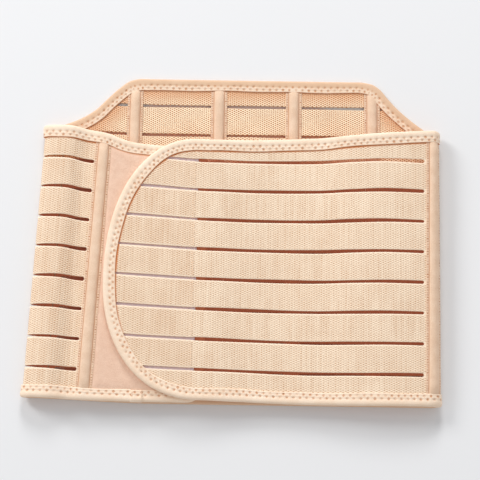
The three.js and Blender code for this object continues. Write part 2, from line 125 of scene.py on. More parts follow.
Edge = namedtuple("Edge", "leg across rise dip")
TOP_EDGE = [
    Edge("wing", -0.13, 0, 0.88),
    Edge("wing", -0.36, 0, 0.76),
    Edge("wing", -0.503, 0, 0.68),
    Edge("wing", -0.576, 0, 0.44),
    Edge("wing", -0.644, 0, 0.12),
    Edge("wing", -0.72, 0, 0),
    Edge("back", -0.93, 0, 0),
    Edge("back", -0.869, 0.07, 0),
    Edge("back", -0.784, 0.2, 0),
    Edge("back", -0.711, 0.37, 0),
    Edge("back", -0.644, 0.61, 0),
    Edge("back", -0.576, 0.84, 0),
    Edge("back", -0.526, 0.96, 0),
    Edge("back", -0.464, 1, 0),
    Edge("back", 0.61, 1, 0),
    Edge("back", 0.675, 0.965, 0),
    Edge("back", 0.715, 0.88, 0),
    Edge("back", 0.757, 0.7, 0),
    Edge("back", 0.801, 0.52, 0),
    Edge("back", 0.858, 0.33, 0),
    Edge("back", 0.92, 0.15, 0),
    Edge("back", 0.955, 0.05, 0),
    Edge("front", 0.96, 0, 0.02),
    Edge("front", 0.886, 0, 0.22),
    Edge("front", 0.706, 0, 0.58),
    Edge("front", 0.2, 0, 0.94),
    Edge("front", -0.17, 0, 1.1),
    Edge("front", -0.627, 0, 1.1),
]
print(len(SECTIONS), "rows of the section,", len(TOP_EDGE), "of the top edge")

# %% [markdown]
# Wrapping the pattern
#
# Cloth bends smoothly, so the rows are joined by curves that never swing past them. One family
# of curves carries the bottom edge and another the highest slit, and a point of the pattern
# lies on the straight line between the two. NumPy works on all the points of a piece at once.

# %% The wrap
def smooth_through(knots, values):
    """A curve through the values at the knots, which never swings past them."""
    knots, values = np.asarray(knots, float), np.asarray(values, float)
    slopes = np.diff(values) / np.diff(knots)
    before, after = np.append(slopes[0], slopes), np.append(slopes, slopes[-1])
    rising_on = before * after > 0
    tangents = np.where(rising_on, 2 * before * after / np.where(rising_on, before + after, 1), 0)

    def curve(at):
        i = np.clip(np.searchsorted(knots, at, side="right") - 1, 0, len(knots) - 2)
        span = knots[i + 1] - knots[i]
        t = np.clip((at - knots[i]) / span, 0, 1)
        kept = (1 + 2 * t) * (1 - t) ** 2
        bent = tangents[i] * t * (1 - t) ** 2 - tangents[i + 1] * t**2 * (1 - t)
        return values[i] * kept + values[i + 1] * (1 - kept) + bent * span

    return curve


def placed(row, end):
    """Where a row puts the cloth's middle, at the bottom edge (0) or at the top slit (1)."""
    across = row.across[end] * HALF_WIDTH
    up = row.climb[end] * SKEW + end * TOP_SLIT
    height = max(BOUND_FACE, row.loft[end] * LOFT) + row.layers * LAYER_STEP
    return np.array([across, up, height])


ends = [np.array([placed(row, end) for row in SECTIONS]) for end in (0, 1)]
middles = (ends[0] + ends[1]) / 2
row_at = np.append(0, np.cumsum(np.linalg.norm(np.diff(middles, axis=0), axis=1)))
TIP = row_at[-1]
curves = [[smooth_through(row_at, points[:, axis]) for axis in range(3)] for points in ends]
TANGENT_STEP = 0.05
PLACES_ALONG = 40001


def on_curve(end, u):
    return np.stack([curve(u) for curve in curves[end]], axis=-1)


def wrapped(u, v, w):
    """From places on the pattern and offsets from the cloth's middle to points, before laying."""
    u, v, w = np.broadcast_arrays(*(np.asarray(x, float) for x in (u, v, w)))
    bottom, top = on_curve(0, u), on_curve(1, u)
    after, before = u + TANGENT_STEP, u - TANGENT_STEP
    along = sum(on_curve(end, after) - on_curve(end, before) for end in (0, 1))
    outward = np.cross(top - bottom, along)
    outward /= np.linalg.norm(outward, axis=-1, keepdims=True)
    return bottom + (top - bottom) * (v / TOP_SLIT)[..., None] + outward * w[..., None]


def along_at(leg, across):
    """The place along the belt where a leg of it passes over a share of the half width."""
    fine = np.linspace(0, TIP, PLACES_ALONG)
    x = (on_curve(0, fine)[:, 0] + on_curve(1, fine)[:, 0]) / 2 - across * HALF_WIDTH
    folds = [row_at[i] for i, row in enumerate(SECTIONS) if row.leg == "fold"]
    first, last = {"wing": (0, folds[0]), "back": tuple(folds), "front": (folds[1], TIP)}[leg]
    on_leg = (fine[1:] > first) & (fine[:-1] < last)
    crossing = np.flatnonzero((x[1:] * x[:-1] <= 0) & on_leg)
    if len(crossing):
        return float(fine[crossing[0]])
    return 0.0 if leg == "wing" else float(TIP)


LEFT_CHANNEL = row_at[LEFT_CHANNEL_ROW]
RIGHT_SEAM = row_at[RIGHT_SEAM_ROW]
SEAM_BEHIND = along_at("back", SEAM_FROM_FOLD / HALF_WIDTH - 1)
FLAP_START = TIP - FLAP_CURVE
top_edge = smooth_through(
    [along_at(row.leg, row.across) for row in TOP_EDGE],
    [SIDE_HEIGHT + row.rise * BACK_RISE - row.dip * FRONT_DIP for row in TOP_EDGE],
)
print(f"the belt is {TIP:.0f} mm long on its pattern")

# %% [markdown]
# The finished edge
#
# The outline on the pattern is one closed line: round the wing's corners, along the bottom,
# round the flap and back along the top. Points an even step apart on it serve twice. The
# binding follows them, and moved in by a distance they say where each cloth is cut.

# %% The outline and its insets
HALF_STITCH = 2.85
RING_STEP = 0.95
RINGS_IN_STITCH = round(HALF_STITCH / RING_STEP)
ROUND_POINTS = 160
RUN_POINTS = 1600


def outline_points():
    """Points round the finished edge, an even step apart, and the way into the cloth at each."""
    turn = np.linspace(0, np.pi / 2, ROUND_POINTS)
    power = 2 / FLAP_FULLNESS
    flap_u = FLAP_START + FLAP_CURVE * np.sin(turn) ** power
    share = np.clip(np.cos(turn), 0, 1) ** power
    run = np.linspace(WING_CORNER, FLAP_START, RUN_POINTS)
    corner_u = WING_CORNER * (1 - np.cos(turn))
    corner_v = WING_CORNER * (1 - np.sin(turn))
    above = FLAP_TIP_HEIGHT + (top_edge(flap_u) - FLAP_TIP_HEIGHT) * share
    stretches = [
        (corner_u, corner_v),
        (run, 0 * run),
        (flap_u, FLAP_TIP_HEIGHT * (1 - share)),
        (flap_u[::-1], above[::-1]),
        (run[::-1], top_edge(run[::-1])),
        (corner_u[::-1], (top_edge(corner_u) - corner_v)[::-1]),
        ([0], [corner_v[0]]),
    ]
    line = np.concatenate([np.stack(stretch, axis=-1) for stretch in stretches])
    far = np.append(0, np.cumsum(np.linalg.norm(np.diff(line, axis=0), axis=1)))
    whole = 2 * RINGS_IN_STITCH
    count = whole * round(far[-1] / RING_STEP / whole)
    even = np.arange(count) * far[-1] / count
    points = np.stack([np.interp(even, far, line[:, axis]) for axis in (0, 1)], axis=-1)
    ways = np.roll(points, -2, axis=0) - np.roll(points, 2, axis=0)
    ways /= np.linalg.norm(ways, axis=1, keepdims=True)
    return points, np.stack([-ways[:, 1], ways[:, 0]], axis=-1)


outline, inward = outline_points()


def inset_edges(distance):
    """The lower and upper edges of the belt, moved in by a distance, as functions of u."""
    moved = outline + inward * distance
    tip = int(np.argmax(moved[:, 0]))
    lower, upper = moved[:tip], moved[tip:]
    past_start = upper[:, 0] > upper[:, 0].min() + TANGENT_STEP
    upper = upper[past_start | (upper[:, 1] > SIDE_HEIGHT / 2)]
    upper = upper[np.argsort(upper[:, 0])]
    lower = lower[np.argsort(lower[:, 0])]
    return (
        lambda u: np.interp(u, lower[:, 0], lower[:, 1]),
        lambda u: np.interp(u, upper[:, 0], upper[:, 1]),
    )


fine_u = np.linspace(0, TIP, 2000)
lowest = wrapped(fine_u, inset_edges(0)[0](fine_u), 0)[:, 1].min()
LAID = np.array([0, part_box("edge_binding")[0][1] / MM - lowest, 0])
print(f"{len(outline)} places round the edge; the pattern moves {LAID[1]:.1f} mm along Y")

# %% [markdown]
# A patch of cloth from a grid
#
# Every soft piece starts as Blender's own grid. Its points are then moved to their places on
# the pattern and wrapped. The pattern's own u and v are kept as a UV map, in metres, so the
# weave follows the cloth round the folds and has its real scale. A piece of cloth also keeps
# how far each point is from the finished edge, for the painted shade along the binding.

# %% Helpers that lay a grid on the pattern
FLAT_MAP = "flat_pattern"
FROM_EDGE = "from_edge"
MEASURED_AT_ONCE = 500


def edge_distance(u, v):
    """How far each place on the pattern lies from the finished edge."""
    places = np.stack([u.ravel(), v.ravel()], axis=-1)
    nearest = [
        np.sqrt(((some[:, None] - outline[None]) ** 2).sum(axis=-1).min(axis=1))
        for some in np.array_split(places, max(1, len(places) // MEASURED_AT_ONCE))
    ]
    return np.concatenate(nearest).reshape(u.shape)


def deselect_all():
    if bpy.context.object and bpy.context.object.mode != "OBJECT":
        bpy.ops.object.mode_set(mode="OBJECT")
    bpy.ops.object.select_all(action="DESELECT")


def grid_patch(name, u, v, w, chart=None):
    """A grid whose points lie at the given places, with a map of the flat pattern or a chart."""
    along, up = u.shape
    deselect_all()
    bpy.ops.mesh.primitive_grid_add(x_subdivisions=along - 1, y_subdivisions=up - 1, size=1)
    patch = bpy.context.object
    patch.name = patch.data.name = name
    mesh = patch.data
    places = (wrapped(u, v, w) + LAID) * MM
    mesh.vertices.foreach_set("co", places.transpose(1, 0, 2).ravel())
    flat = np.stack(chart or (u, v), axis=-1).transpose(1, 0, 2).reshape(-1, 2) * MM
    corners = np.empty(len(mesh.loops), int)
    mesh.loops.foreach_get("vertex_index", corners)
    pattern = mesh.uv_layers[0]
    pattern.name = FLAT_MAP
    pattern.data.foreach_set("uv", flat[corners].ravel())
    if chart is None:
        kept = mesh.attributes.new(FROM_EDGE, "FLOAT", "POINT")
        kept.data.foreach_set("value", (edge_distance(u, v) * MM).T.ravel())
    mesh.flip_normals()
    mesh.update()
    return patch


print("each patch keeps:", FLAT_MAP, "and", FROM_EDGE)

# %% [markdown]
# Finishing a mesh
#
# The same few steps of edit mode end every piece: faces are cut away, points that lie in one
# place are merged, and the faces are turned outwards. Then the piece rides on the one body and
# stands for its node.

# %% Helpers that finish a mesh
MERGED = 0.00003


def delete_faces(patch, doomed):
    """Deletes the faces whose place in a mask, in the grid's own order, is true."""
    mesh = patch.data
    bpy.context.tool_settings.mesh_select_mode = (False, False, True)
    mesh.vertices.foreach_set("select", np.zeros(len(mesh.vertices), bool))
    mesh.edges.foreach_set("select", np.zeros(len(mesh.edges), bool))
    mesh.polygons.foreach_set("select", doomed.ravel())
    bpy.ops.object.mode_set(mode="EDIT")
    bpy.ops.mesh.delete(type="FACE")
    bpy.ops.object.mode_set(mode="OBJECT")


def merge_doubles():
    """Merges what lies in one place, which also closes the seams of a piece that runs round."""
    bpy.ops.object.mode_set(mode="EDIT")
    bpy.ops.mesh.select_all(action="SELECT")
    bpy.ops.mesh.remove_doubles(threshold=MERGED)
    bpy.ops.mesh.dissolve_degenerate(threshold=MERGED / 3)
    bpy.ops.mesh.select_all(action="DESELECT")
    bpy.ops.object.mode_set(mode="OBJECT")


def faces_outward():
    bpy.ops.object.mode_set(mode="EDIT")
    bpy.ops.mesh.select_all(action="SELECT")
    bpy.ops.mesh.normals_make_consistent(inside=False)
    bpy.ops.mesh.select_all(action="DESELECT")
    bpy.ops.object.mode_set(mode="OBJECT")


def apply_modifier(patch, kind, **settings):
    modifier = patch.modifiers.new(kind.title(), kind)
    for name, value in settings.items():
        setattr(modifier, name, value)
    bpy.ops.object.modifier_apply(modifier=modifier.name)


def finish_piece(patch, slot, *nodes):
    """Shades a piece smooth and says what it stands for. Its slot, what it is made of, is not used.
    """
    patch.data.shade_smooth()
    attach(patch, "root")
    if nodes:
        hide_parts(*nodes)
    mesh = patch.data
    mesh.calc_loop_triangles()
    print(f"{patch.name}: {len(mesh.loop_triangles)} triangles")


print(f"points closer than {MERGED / MM:.2f} mm will be merged")

# %% [markdown]
# Slits
#
# The panels are one width of elastic, cut through by a slit every 26 mm, which lets each strip
# stretch on its own. Cut cloth doesn't open evenly: a slit is blunt at its ends, wanders a
# little, closes towards the far end of the left panel, and stands less open over the hook tape
# that is sewn behind it.

# %% How wide a slit stands open
SLIT_GAP = 2.65
LEFT_SLIT_GAP = 3.15
BACK_SLIT_GAP = 2.25
LEFT_TAPER = 0.72
TAPER_BEND = 1.5
BLUNT_END = 0.9
BACKED = 0.25
BACKED_FADE = 4


def slit_gap(u, start, end, number, width, taper):
    """How wide a slit stands open: blunt at its ends, or tapered towards its far end."""
    blunt = np.sqrt(np.clip(np.minimum(u - start, end - u) / BLUNT_END, 0, 1))
    wander = 1 + 0.12 * np.sin(u / 17 + 1.9 * number) + 0.08 * np.sin(u / 41 + number)
    closing = 1 - taper * np.clip((u - start) / (end - start), 0, 1) ** TAPER_BEND
    backed = 1 - BACKED * np.clip((u - TIP + HOOK_REACH) / BACKED_FADE + 0.5, 0, 1)
    return width * blunt * wander * closing * backed


middle_of_front = (RIGHT_SEAM + TIP) / 2
open_there = slit_gap(middle_of_front, RIGHT_SEAM, TIP, 1, SLIT_GAP, 0.0)
print(f"the front's first slit stands {open_there:.1f} mm open at its middle")

# %% [markdown]
# Slit elastic
#
# In the mesh two rows of points meet along every slit. Where the slit is open they part, and
# the faces between them are deleted; where it ends they close and merge. Boolean cuts would
# leave ragged triangles along the lips. Solidify then gives the cloth its thickness, and a
# subdivision rounds the cut lips.

# %% A panel of slit elastic
COLUMN_STEP = 3.4
LEAST_COLUMN = 0.08
NEAR_SLIT_END = (-0.9, -0.05, 0.05, 0.45, 1.1)
CUT_EDGE = 1.1
STRIP_ROWS = (0, 0.025, 0.09, 0.25, 0.5, 0.75, 0.91, 0.975, 1)
LIP_LIFT = 0.18
LIP_SPREAD = 0.07
STRIP_CROWN = 0.25
WAVE_FADE = 22
THINNED = 0.1
FACES = ("outside", "inside", "cut lips")


def panel_columns(start, end, gap_at):
    """Places along a panel: an even step apart, and closer at both ends of its slits."""
    inside = np.linspace(start, end, round((end - start) / COLUMN_STEP) + 1)
    near_ends = [place + step for place in gap_at for step in NEAR_SLIT_END]
    extra = [u for u in near_ends if start < u < end]
    columns = np.unique(np.concatenate([inside, extra]))
    return columns[np.append(True, np.diff(columns) > LEAST_COLUMN)]


def elastic_panel(name, start, end, slits, gap_at, width=SLIT_GAP, taper=0.0, waves=()):
    """A panel between two places along the belt. gap_at holds where its slits start and end."""
    low, high = inset_edges(CUT_EDGE)
    columns = panel_columns(start, end, gap_at)

    def half_gap(number):
        return slit_gap(columns, *gap_at, number, width, taper) / 2

    rows, lifts, slit_rows = [], [], []
    for strip in range(slits + 1):
        base = low(columns) if strip == 0 else strip * SLIT_PITCH + half_gap(strip)
        roof = high(columns) if strip == slits else (strip + 1) * SLIT_PITCH - half_gap(strip + 1)
        for share in STRIP_ROWS:
            rows.append(base + (roof - base) * share)
            near_lip = np.exp(-((min(share, 1 - share) / LIP_SPREAD) ** 2))
            lifts.append(LIP_LIFT * near_lip + STRIP_CROWN * np.sin(np.pi * share))
        slit_rows.append(len(rows) - 1)
    v = np.clip(np.stack(rows, axis=1), low(columns)[:, None], high(columns)[:, None])
    u = np.repeat(columns[:, None], v.shape[1], axis=1)
    w = np.repeat(np.array(lifts)[None] - STRIP_CROWN / 2, len(columns), axis=0)
    free = np.clip(np.minimum(v - low(u), high(u) - v) / WAVE_FADE, 0, 1)
    for place, spread, height in waves:
        w = w + height * np.exp(-(((u - place) / spread) ** 2)) * free
    patch = grid_patch(name, u, v, w)
    in_slits = np.zeros((v.shape[1] - 1, len(columns) - 1), bool)
    in_slits[slit_rows[:-1]] = True
    delete_faces(patch, in_slits)
    merge_doubles()
    for _ in FACES:
        patch.data.materials.append(None)
    apply_modifier(
        patch, "SOLIDIFY", thickness=(CLOTH - THINNED) * MM, offset=0,
        material_offset=1, material_offset_rim=2)
    apply_modifier(patch, "SUBSURF", levels=1, render_levels=1)
    return patch


print(f"a strip has {len(STRIP_ROWS)} rows of points and is {STRIP_CROWN} mm proud at its middle")

# %% [markdown]
# The three panels
#
# One panel runs round the left fold, one is the tall back, and one is the whole front with the
# flap. Their slits end beside a seam or a channel, but round the flap's end the front's run in
# under the binding. The wing also has two shallow waves, where the closed belt pulls on it.

# %% The three elastic panels
HALF_CHANNEL = CHANNEL_WIDTH / 2
HALF_SEAM = 0.15
SEAM_HOLD = 5
CHANNEL_CLEARANCE = 0.3
FLAP_CUT = 1.6
WING_WAVES = [(along_at("wing", -0.775), 7, -0.9), (along_at("wing", -0.87), 7, 0.5)]

left_slits = (LEFT_CHANNEL + HALF_CHANNEL + CHANNEL_CLEARANCE, SEAM_BEHIND - SEAM_HOLD)
left_panel = elastic_panel(
    "elastic_left", LEFT_CHANNEL + HALF_SEAM, SEAM_BEHIND - HALF_SEAM, FRONT_SLITS, left_slits,
    LEFT_SLIT_GAP, taper=LEFT_TAPER, waves=WING_WAVES)
back_slits = (SEAM_BEHIND + SEAM_HOLD, RIGHT_SEAM - HALF_CHANNEL - CHANNEL_CLEARANCE)
back_panel = elastic_panel(
    "elastic_back", SEAM_BEHIND + HALF_SEAM, RIGHT_SEAM - HALF_SEAM, BACK_SLITS, back_slits,
    BACK_SLIT_GAP)
front_slits = (RIGHT_SEAM + HALF_CHANNEL + 1.5, TIP - 2)
right_panel = elastic_panel(
    "elastic_right", RIGHT_SEAM + HALF_SEAM, TIP - FLAP_CUT, FRONT_SLITS, front_slits)
finish_piece(left_panel, "elastic", "left_panel")
finish_piece(back_panel, "elastic", "back_panel")
finish_piece(right_panel, "elastic", "right_panel")

# %% [markdown]
# The binding
#
# One soft tape is folded over the whole edge and held by a zigzag stitch. Its fold swells into
# a roll, the needle pulls two rows of dimples into it, and its inner lip stands a little proud.
# A section with those swells is carried round the outline, a ring every millimetre. The section
# is a list of places, each an inset from the finished edge and a height on the cloth.

# %% The binding's section and its swells
ROLL_SECTION = [
    (10.4, 0.74), (10.66, 0.98), (10.6, 1.24), (10.2, 1.46), (9.6, 1.54), (9.0, 1.5), (8.5, 1.44),
    (7.9, 1.56), (7.25, 1.66), (6.55, 1.58), (5.9, 1.5), (5.2, 1.66), (4.3, 1.88), (3.1, 2.02),
    (1.9, 1.92), (0.9, 1.54), (0.25, 0.96), (0.0, 0.3),
]
SLOT_SECTION = [(1.0, -0.76), (1.0, 0.76)]
STITCH_ROWS = (5.9, 8.5)
DIMPLE = 0.55
DIMPLE_WIDTH = 0.8
PUCKER = 0.13
PUCKER_WIDTH = 3.2
CHANNEL_SWELL = 0.5
back_centres = [along_at("back", place / HALF_WIDTH) for place in BACK_CHANNELS]


def binding_section():
    outer = np.array(ROLL_SECTION)
    mirrored = outer[::-1] * (1, -1)
    return np.concatenate([outer, mirrored, SLOT_SECTION])


def stitch_dimples(section, ring):
    """How far the needle pulls each point of the section in, at each place round the edge."""
    side = np.sign(section[:, 1])
    whole = 2 * RINGS_IN_STITCH
    pulled = []
    for turn, row in enumerate(STITCH_ROWS):
        past = (ring - turn * RINGS_IN_STITCH) % whole
        away = np.minimum(past, whole - past)
        pull = np.select([away == 0, away == 1], [1.0, 0.4], 0.0)
        pull = pull * (1 + 0.5 * np.sin(2.4 * ((ring + RINGS_IN_STITCH) // whole) + 2 * turn))
        across = np.exp(-(((section[:, 0] - row) / DIMPLE_WIDTH) ** 2))
        pulled.append(DIMPLE * pull[:, None] * (across * side)[None])
    return pulled


def stitch_puckers(section, ring):
    """How far the tape puffs up between its stitches."""
    stitched = np.exp(-(((section[:, 0] - np.mean(STITCH_ROWS)) / PUCKER_WIDTH) ** 2))
    puff = PUCKER * (1 - np.cos(np.pi * ring / RINGS_IN_STITCH)) * (1 + 0.4 * np.sin(ring / 37))
    return puff[:, None] * (stitched * np.sign(section[:, 1]))[None]


def over_channel(centre):
    """How far the binding swells over the ends of a channel, at each place round the edge."""
    return CHANNEL_SWELL * np.exp(-(((outline[:, 0] - centre) / HALF_CHANNEL) ** 2))


print(f"the binding's section has {len(binding_section())} points, {len(outline)} times round")

# %% [markdown]
# Carrying the section round
#
# The tape's two ends lap at one place of the bottom edge, where it is thicker and reaches a
# little further out. On the back, its face towards the front is kept no thicker than the
# solid's binding. The tape gets a chart of its own, with its run round the edge and its inset
# in place of the pattern's u and v, so that its needle holes follow it round the corners.

# %% Edge binding
LAP_AT = -0.443
LAP_HALF_LENGTH = 4.5
LAP_SWELL = 1.4
LAP_OVERHANG = 0.45


def edge_binding():
    section = binding_section()
    ring = np.arange(len(outline))
    distance = np.repeat(section[None, :, 0], len(ring), axis=0)
    offset = np.repeat(section[None, :, 1], len(ring), axis=0)
    side = np.sign(section[:, 1])
    for pulled in stitch_dimples(section, ring):
        offset -= pulled
    offset += stitch_puckers(section, ring)
    outer_swell = sum(over_channel(centre) for centre in (LEFT_CHANNEL, RIGHT_SEAM))
    inner_swell = sum(over_channel(centre) for centre in back_centres)
    swollen = np.clip((section[:, 0] - 2) / 4, 0, 1)
    offset += outer_swell[:, None] * (swollen * (side > 0))[None]
    offset -= inner_swell[:, None] * (swollen * (side < 0))[None]
    beside_lap = np.abs(outline[:, 0] - along_at("wing", LAP_AT)) < LAP_HALF_LENGTH
    lap = beside_lap & (outline[:, 1] < 1)
    offset[lap] *= LAP_SWELL
    distance[lap] -= LAP_OVERHANG
    on_back = (outline[:, 0] > SEAM_BEHIND - SEAM_FROM_FOLD) & (outline[:, 0] < RIGHT_SEAM)
    offset[on_back] = np.maximum(offset[on_back], -BOUND_FACE)
    sway = 0.28 * np.sin(ring / 9.5) + 0.2 * np.sin(ring / 23 + 1)
    distance += sway[:, None] * np.clip((section[:, 0] - 4) / 6, 0, 1)[None]
    u = outline[:, None, 0] + inward[:, None, 0] * distance
    v = outline[:, None, 1] + inward[:, None, 1] * distance
    run = np.repeat(ring[:, None] * RING_STEP, len(section), axis=1)
    inset = np.repeat(section[None, :, 0], len(ring), axis=0)
    u, v, offset, inset = (np.concatenate([x, x[:1]]) for x in (u, v, offset, inset))
    run = np.concatenate([run, run[-1:] + RING_STEP])
    u, v, offset, inset, run = (
        np.concatenate([x, x[:, :1]], axis=1) for x in (u, v, offset, inset, run))
    piece = grid_patch("binding_tape", u, v, offset, chart=(run, inset))
    merge_doubles()
    faces_outward()
    return piece


binding = edge_binding()
finish_piece(binding, "binding", "edge_binding")

# %% [markdown]
# Stay channels
#
# A channel is a narrow tape sewn down along both its edges over a springy plastic stay. Two
# cover the side seams on the outside, and four run up the inside of the back. Each is a strip
# with a stitched flange, a crease and a low dome, flattened where its ends pass under the
# binding. It follows the slope of the top edge where it ends.

# %% Stay channels
CHANNEL_SECTION = [
    (-7.0, 0.0), (-7.02, 0.35), (-6.8, 0.62), (-6.3, 0.66), (-5.8, 0.5), (-5.3, 0.62), (-4.85, 0.6),
    (-4.55, 0.35), (-4.3, 0.75), (-3.9, 1.45), (-3.1, 2.15), (-2.0, 2.6), (-0.8, 2.8),
]
CHANNEL_CROWN = 2.84
CHANNEL_FOOT = -0.05
CHANNEL_STEP = 2.6
CHANNEL_INSET = BINDING_WIDTH - 1.6
CHANNEL_ENDS = np.array([0.6, 1.6, 3.6])
END_RISE = 0.3
SLOPED = 40


def channel_section():
    left = np.array(CHANNEL_SECTION)
    crown = np.array([[0, CHANNEL_CROWN]])
    return np.concatenate([left, crown, left[::-1] * (-1, 1)])


def stay_channel(name, centre, side):
    """A channel up the belt at a place along it, on its outer (1) or inner (-1) face."""
    section = channel_section()
    under = section[::-1][1:-1]
    across = np.concatenate([section[:, 0], under[:, 0], section[:1, 0]])
    height = np.concatenate([section[:, 1], 0 * under[:, 1] + CHANNEL_FOOT, section[:1, 1]])
    edges = inset_edges(CHANNEL_INSET)
    low, high = (float(edge(centre)) for edge in edges)
    v_rows = np.linspace(low, high, round((high - low) / CHANNEL_STEP) + 1)
    v_rows = np.sort(np.concatenate([v_rows, low + CHANNEL_ENDS, high - CHANNEL_ENDS]))
    near_end = np.minimum(v_rows - low, high - v_rows)
    rise = END_RISE + (1 - END_RISE) * np.clip((near_end - 0.8) / 7.5, 0, 1) ** 0.7
    rise[near_end < 0.1] = 0
    ripple = 1 + 0.035 * np.sin(v_rows / 9.3 + centre) + 0.03 * np.sin(v_rows / 4.1)
    u = centre + across[:, None] * (1 + 0.012 * np.sin(v_rows / 12 + centre))[None]
    v = np.repeat(v_rows[None], len(across), axis=0)
    slope = (edges[1](centre + across) - high)[:, None]
    v = v + slope * np.clip((v_rows - high + SLOPED) / SLOPED, 0, 1)[None]
    w = side * (HALF_CLOTH + height[:, None] * (rise * ripple)[None])
    chart = (np.repeat(across[:, None], len(v_rows), axis=1), v)
    piece = grid_patch(name, u, v, w, chart=chart)
    merge_doubles()
    faces_outward()
    return piece


channels = {
    "left_channel": stay_channel("channel_left", LEFT_CHANNEL, 1),
    "right_channel": stay_channel("channel_right", RIGHT_SEAM, 1),
}
for number, centre in enumerate(back_centres, start=1):
    channels[f"back_channel_{number}"] = stay_channel(f"channel_back_{number}", centre, -1)
for node, channel in channels.items():
    finish_piece(channel, "channel_tape", node)

# %% [markdown]
# Fleece and hooks
#
# The loop panel is brushed fleece on a backing, so it is a soft pad whose pile stands up inside
# the binding. The hook tape is sewn inside the flap's round end, behind the elastic, and only
# shows through the slits. Both are closed patches with an outer and an inner face.

# %% Loop panel and hook panel
PILE = 1.0
PILE_WIDTH = 4
PILE_ROUND = 0.6
PAD_INSET = CUT_EDGE + 0.2
HOOK_INSET = BINDING_WIDTH - 1.5
HOOK_FACES = (0.2, 1.25)


def pad(name, columns, low, high, outer, inner):
    """A closed patch: over its outer face and back under its inner one, shut all round."""
    over = np.concatenate([[0, 0.002], np.linspace(0.02, 0.98, 70), [0.998, 1]])
    round_trip = np.concatenate([over, over[::-1][1:]])
    u = np.repeat(columns[:, None], len(round_trip), axis=1)
    v = low(columns)[:, None] + (high(columns) - low(columns))[:, None] * round_trip[None]
    on_top = np.arange(len(round_trip)) < len(over)
    at_rim = (round_trip[None] <= 0) | (round_trip[None] >= 1)
    at_rim = at_rim | (np.arange(len(columns)) % (len(columns) - 1) == 0)[:, None]
    w = np.where(on_top[None], outer(u, v), inner(u, v))
    w = np.where(at_rim, (outer(u, v) + inner(u, v)) / 2, w)
    piece = grid_patch(name, u, v, w)
    merge_doubles()
    faces_outward()
    return piece


def pad_columns(first, last, rim, count):
    """Places along a pad, with one close to each of its two ends."""
    return np.concatenate([[first], np.linspace(first + rim, last - rim, count), [last]])


def loop_panel():
    low, high = inset_edges(PAD_INSET)
    pile_low, pile_high = inset_edges(BINDING_WIDTH - 0.8)
    columns = pad_columns(PAD_INSET, LEFT_CHANNEL - HALF_SEAM, 0.2, 64)

    def outer(u, v):
        to_edge = np.minimum(v - pile_low(u), pile_high(u) - v)
        to_side = np.minimum(u - BINDING_WIDTH, LEFT_CHANNEL - HALF_CHANNEL + 0.6 - u)
        inside = np.clip(np.minimum(to_edge, to_side) / PILE_WIDTH, 0, 1)
        return HALF_CLOTH + PILE * inside**PILE_ROUND

    return pad("fleece_pad", columns, low, high, outer, lambda u, v: -HALF_CLOTH + 0 * u)


def hook_panel():
    low, high = inset_edges(HOOK_INSET)
    columns = pad_columns(TIP - HOOK_REACH - 1.2, TIP - BINDING_WIDTH + 1, 0.3, 36)
    outer, inner = (
        lambda u, v, depth=depth: -HALF_CLOTH - depth + 0 * u for depth in HOOK_FACES)
    return pad("hook_patch", columns, low, high, outer, inner)


fleece = loop_panel()
finish_piece(fleece, "fleece", "loop_panel")
hooks = hook_panel()
finish_piece(hooks, "hook_tape", "hook_panel")

# %% [markdown]
# A stitch
#
# At arm's length the sewing is what tells a belt from a plain sheet. Each stitch is a short,
# fat, pointed tube that dips into the cloth at both ends. A curve with a bevel would do for
# one, but there are thousands, so all the stitches of one kind are made as one mesh, with few
# faces each.

# %% Stitches from lists of places
THREAD = 0.24
STITCH_SIDES = 5
STITCH_SHARES = (0.06, 0.3, 0.7, 0.94)
BULGE = 0.16
SUNK = 0.14


def stitch_faces():
    """The faces of one stitch: a point at each end and rings of quads between them."""
    faces = []
    rings = len(STITCH_SHARES)
    last = 1 + (rings - 1) * STITCH_SIDES
    tip = last + STITCH_SIDES
    for k in range(STITCH_SIDES):
        n = (k + 1) % STITCH_SIDES
        faces.append((0, 1 + k, 1 + n))
        for ring in range(rings - 1):
            here = 1 + ring * STITCH_SIDES
            there = here + STITCH_SIDES
            faces.append((here + k, there + k, there + n, here + n))
        faces.append((last + n, last + k, tip))
    return faces


def stitch_mesh(name, starts, finishes, face):
    """Rounded stitches from start to finish places (u, v) on a face at a height w."""
    starts, finishes = np.asarray(starts, float), np.asarray(finishes, float)
    face = np.asarray(face, float)
    along = finishes - starts
    along /= np.linalg.norm(along, axis=1, keepdims=True)
    beside = np.stack([-along[:, 1], along[:, 0]], axis=-1)
    angles = np.arange(STITCH_SIDES) * 2 * np.pi / STITCH_SIDES
    rings_u, rings_v, rings_w = [], [], []
    for share in (0, *STITCH_SHARES, 1):
        middle = starts + (finishes - starts) * share
        bulge = np.sin(np.pi * share) ** 0.5
        radius = THREAD * (0.35 + 0.65 * bulge) if 0 < share < 1 else 0
        turn = angles if 0 < share < 1 else angles[:1]
        place = middle[:, None] + beside[:, None] * (radius * np.cos(turn))[None, :, None]
        rings_u.append(place[..., 0])
        rings_v.append(place[..., 1])
        height = np.abs(face)[:, None] + BULGE * bulge - SUNK + (radius * np.sin(turn))[None]
        rings_w.append(np.sign(face)[:, None] * height)
    u, v, w = (np.concatenate(x, axis=1) for x in (rings_u, rings_v, rings_w))
    places = (wrapped(u, v, w) + LAID) * MM
    each = places.shape[1]
    one = stitch_faces()
    faces = [tuple(i + each * stitch for i in f) for stitch in range(len(places)) for f in one]
    mesh = bpy.data.meshes.new(name)
    mesh.from_pydata(places.reshape(-1, 3).tolist(), [], faces)
    piece = bpy.data.objects.new(name, mesh)
    bpy.context.collection.objects.link(piece)
    deselect_all()
    piece.select_set(True)
    bpy.context.view_layer.objects.active = piece
    faces_outward()
    return piece


print(f"a stitch has {len(stitch_faces())} faces")

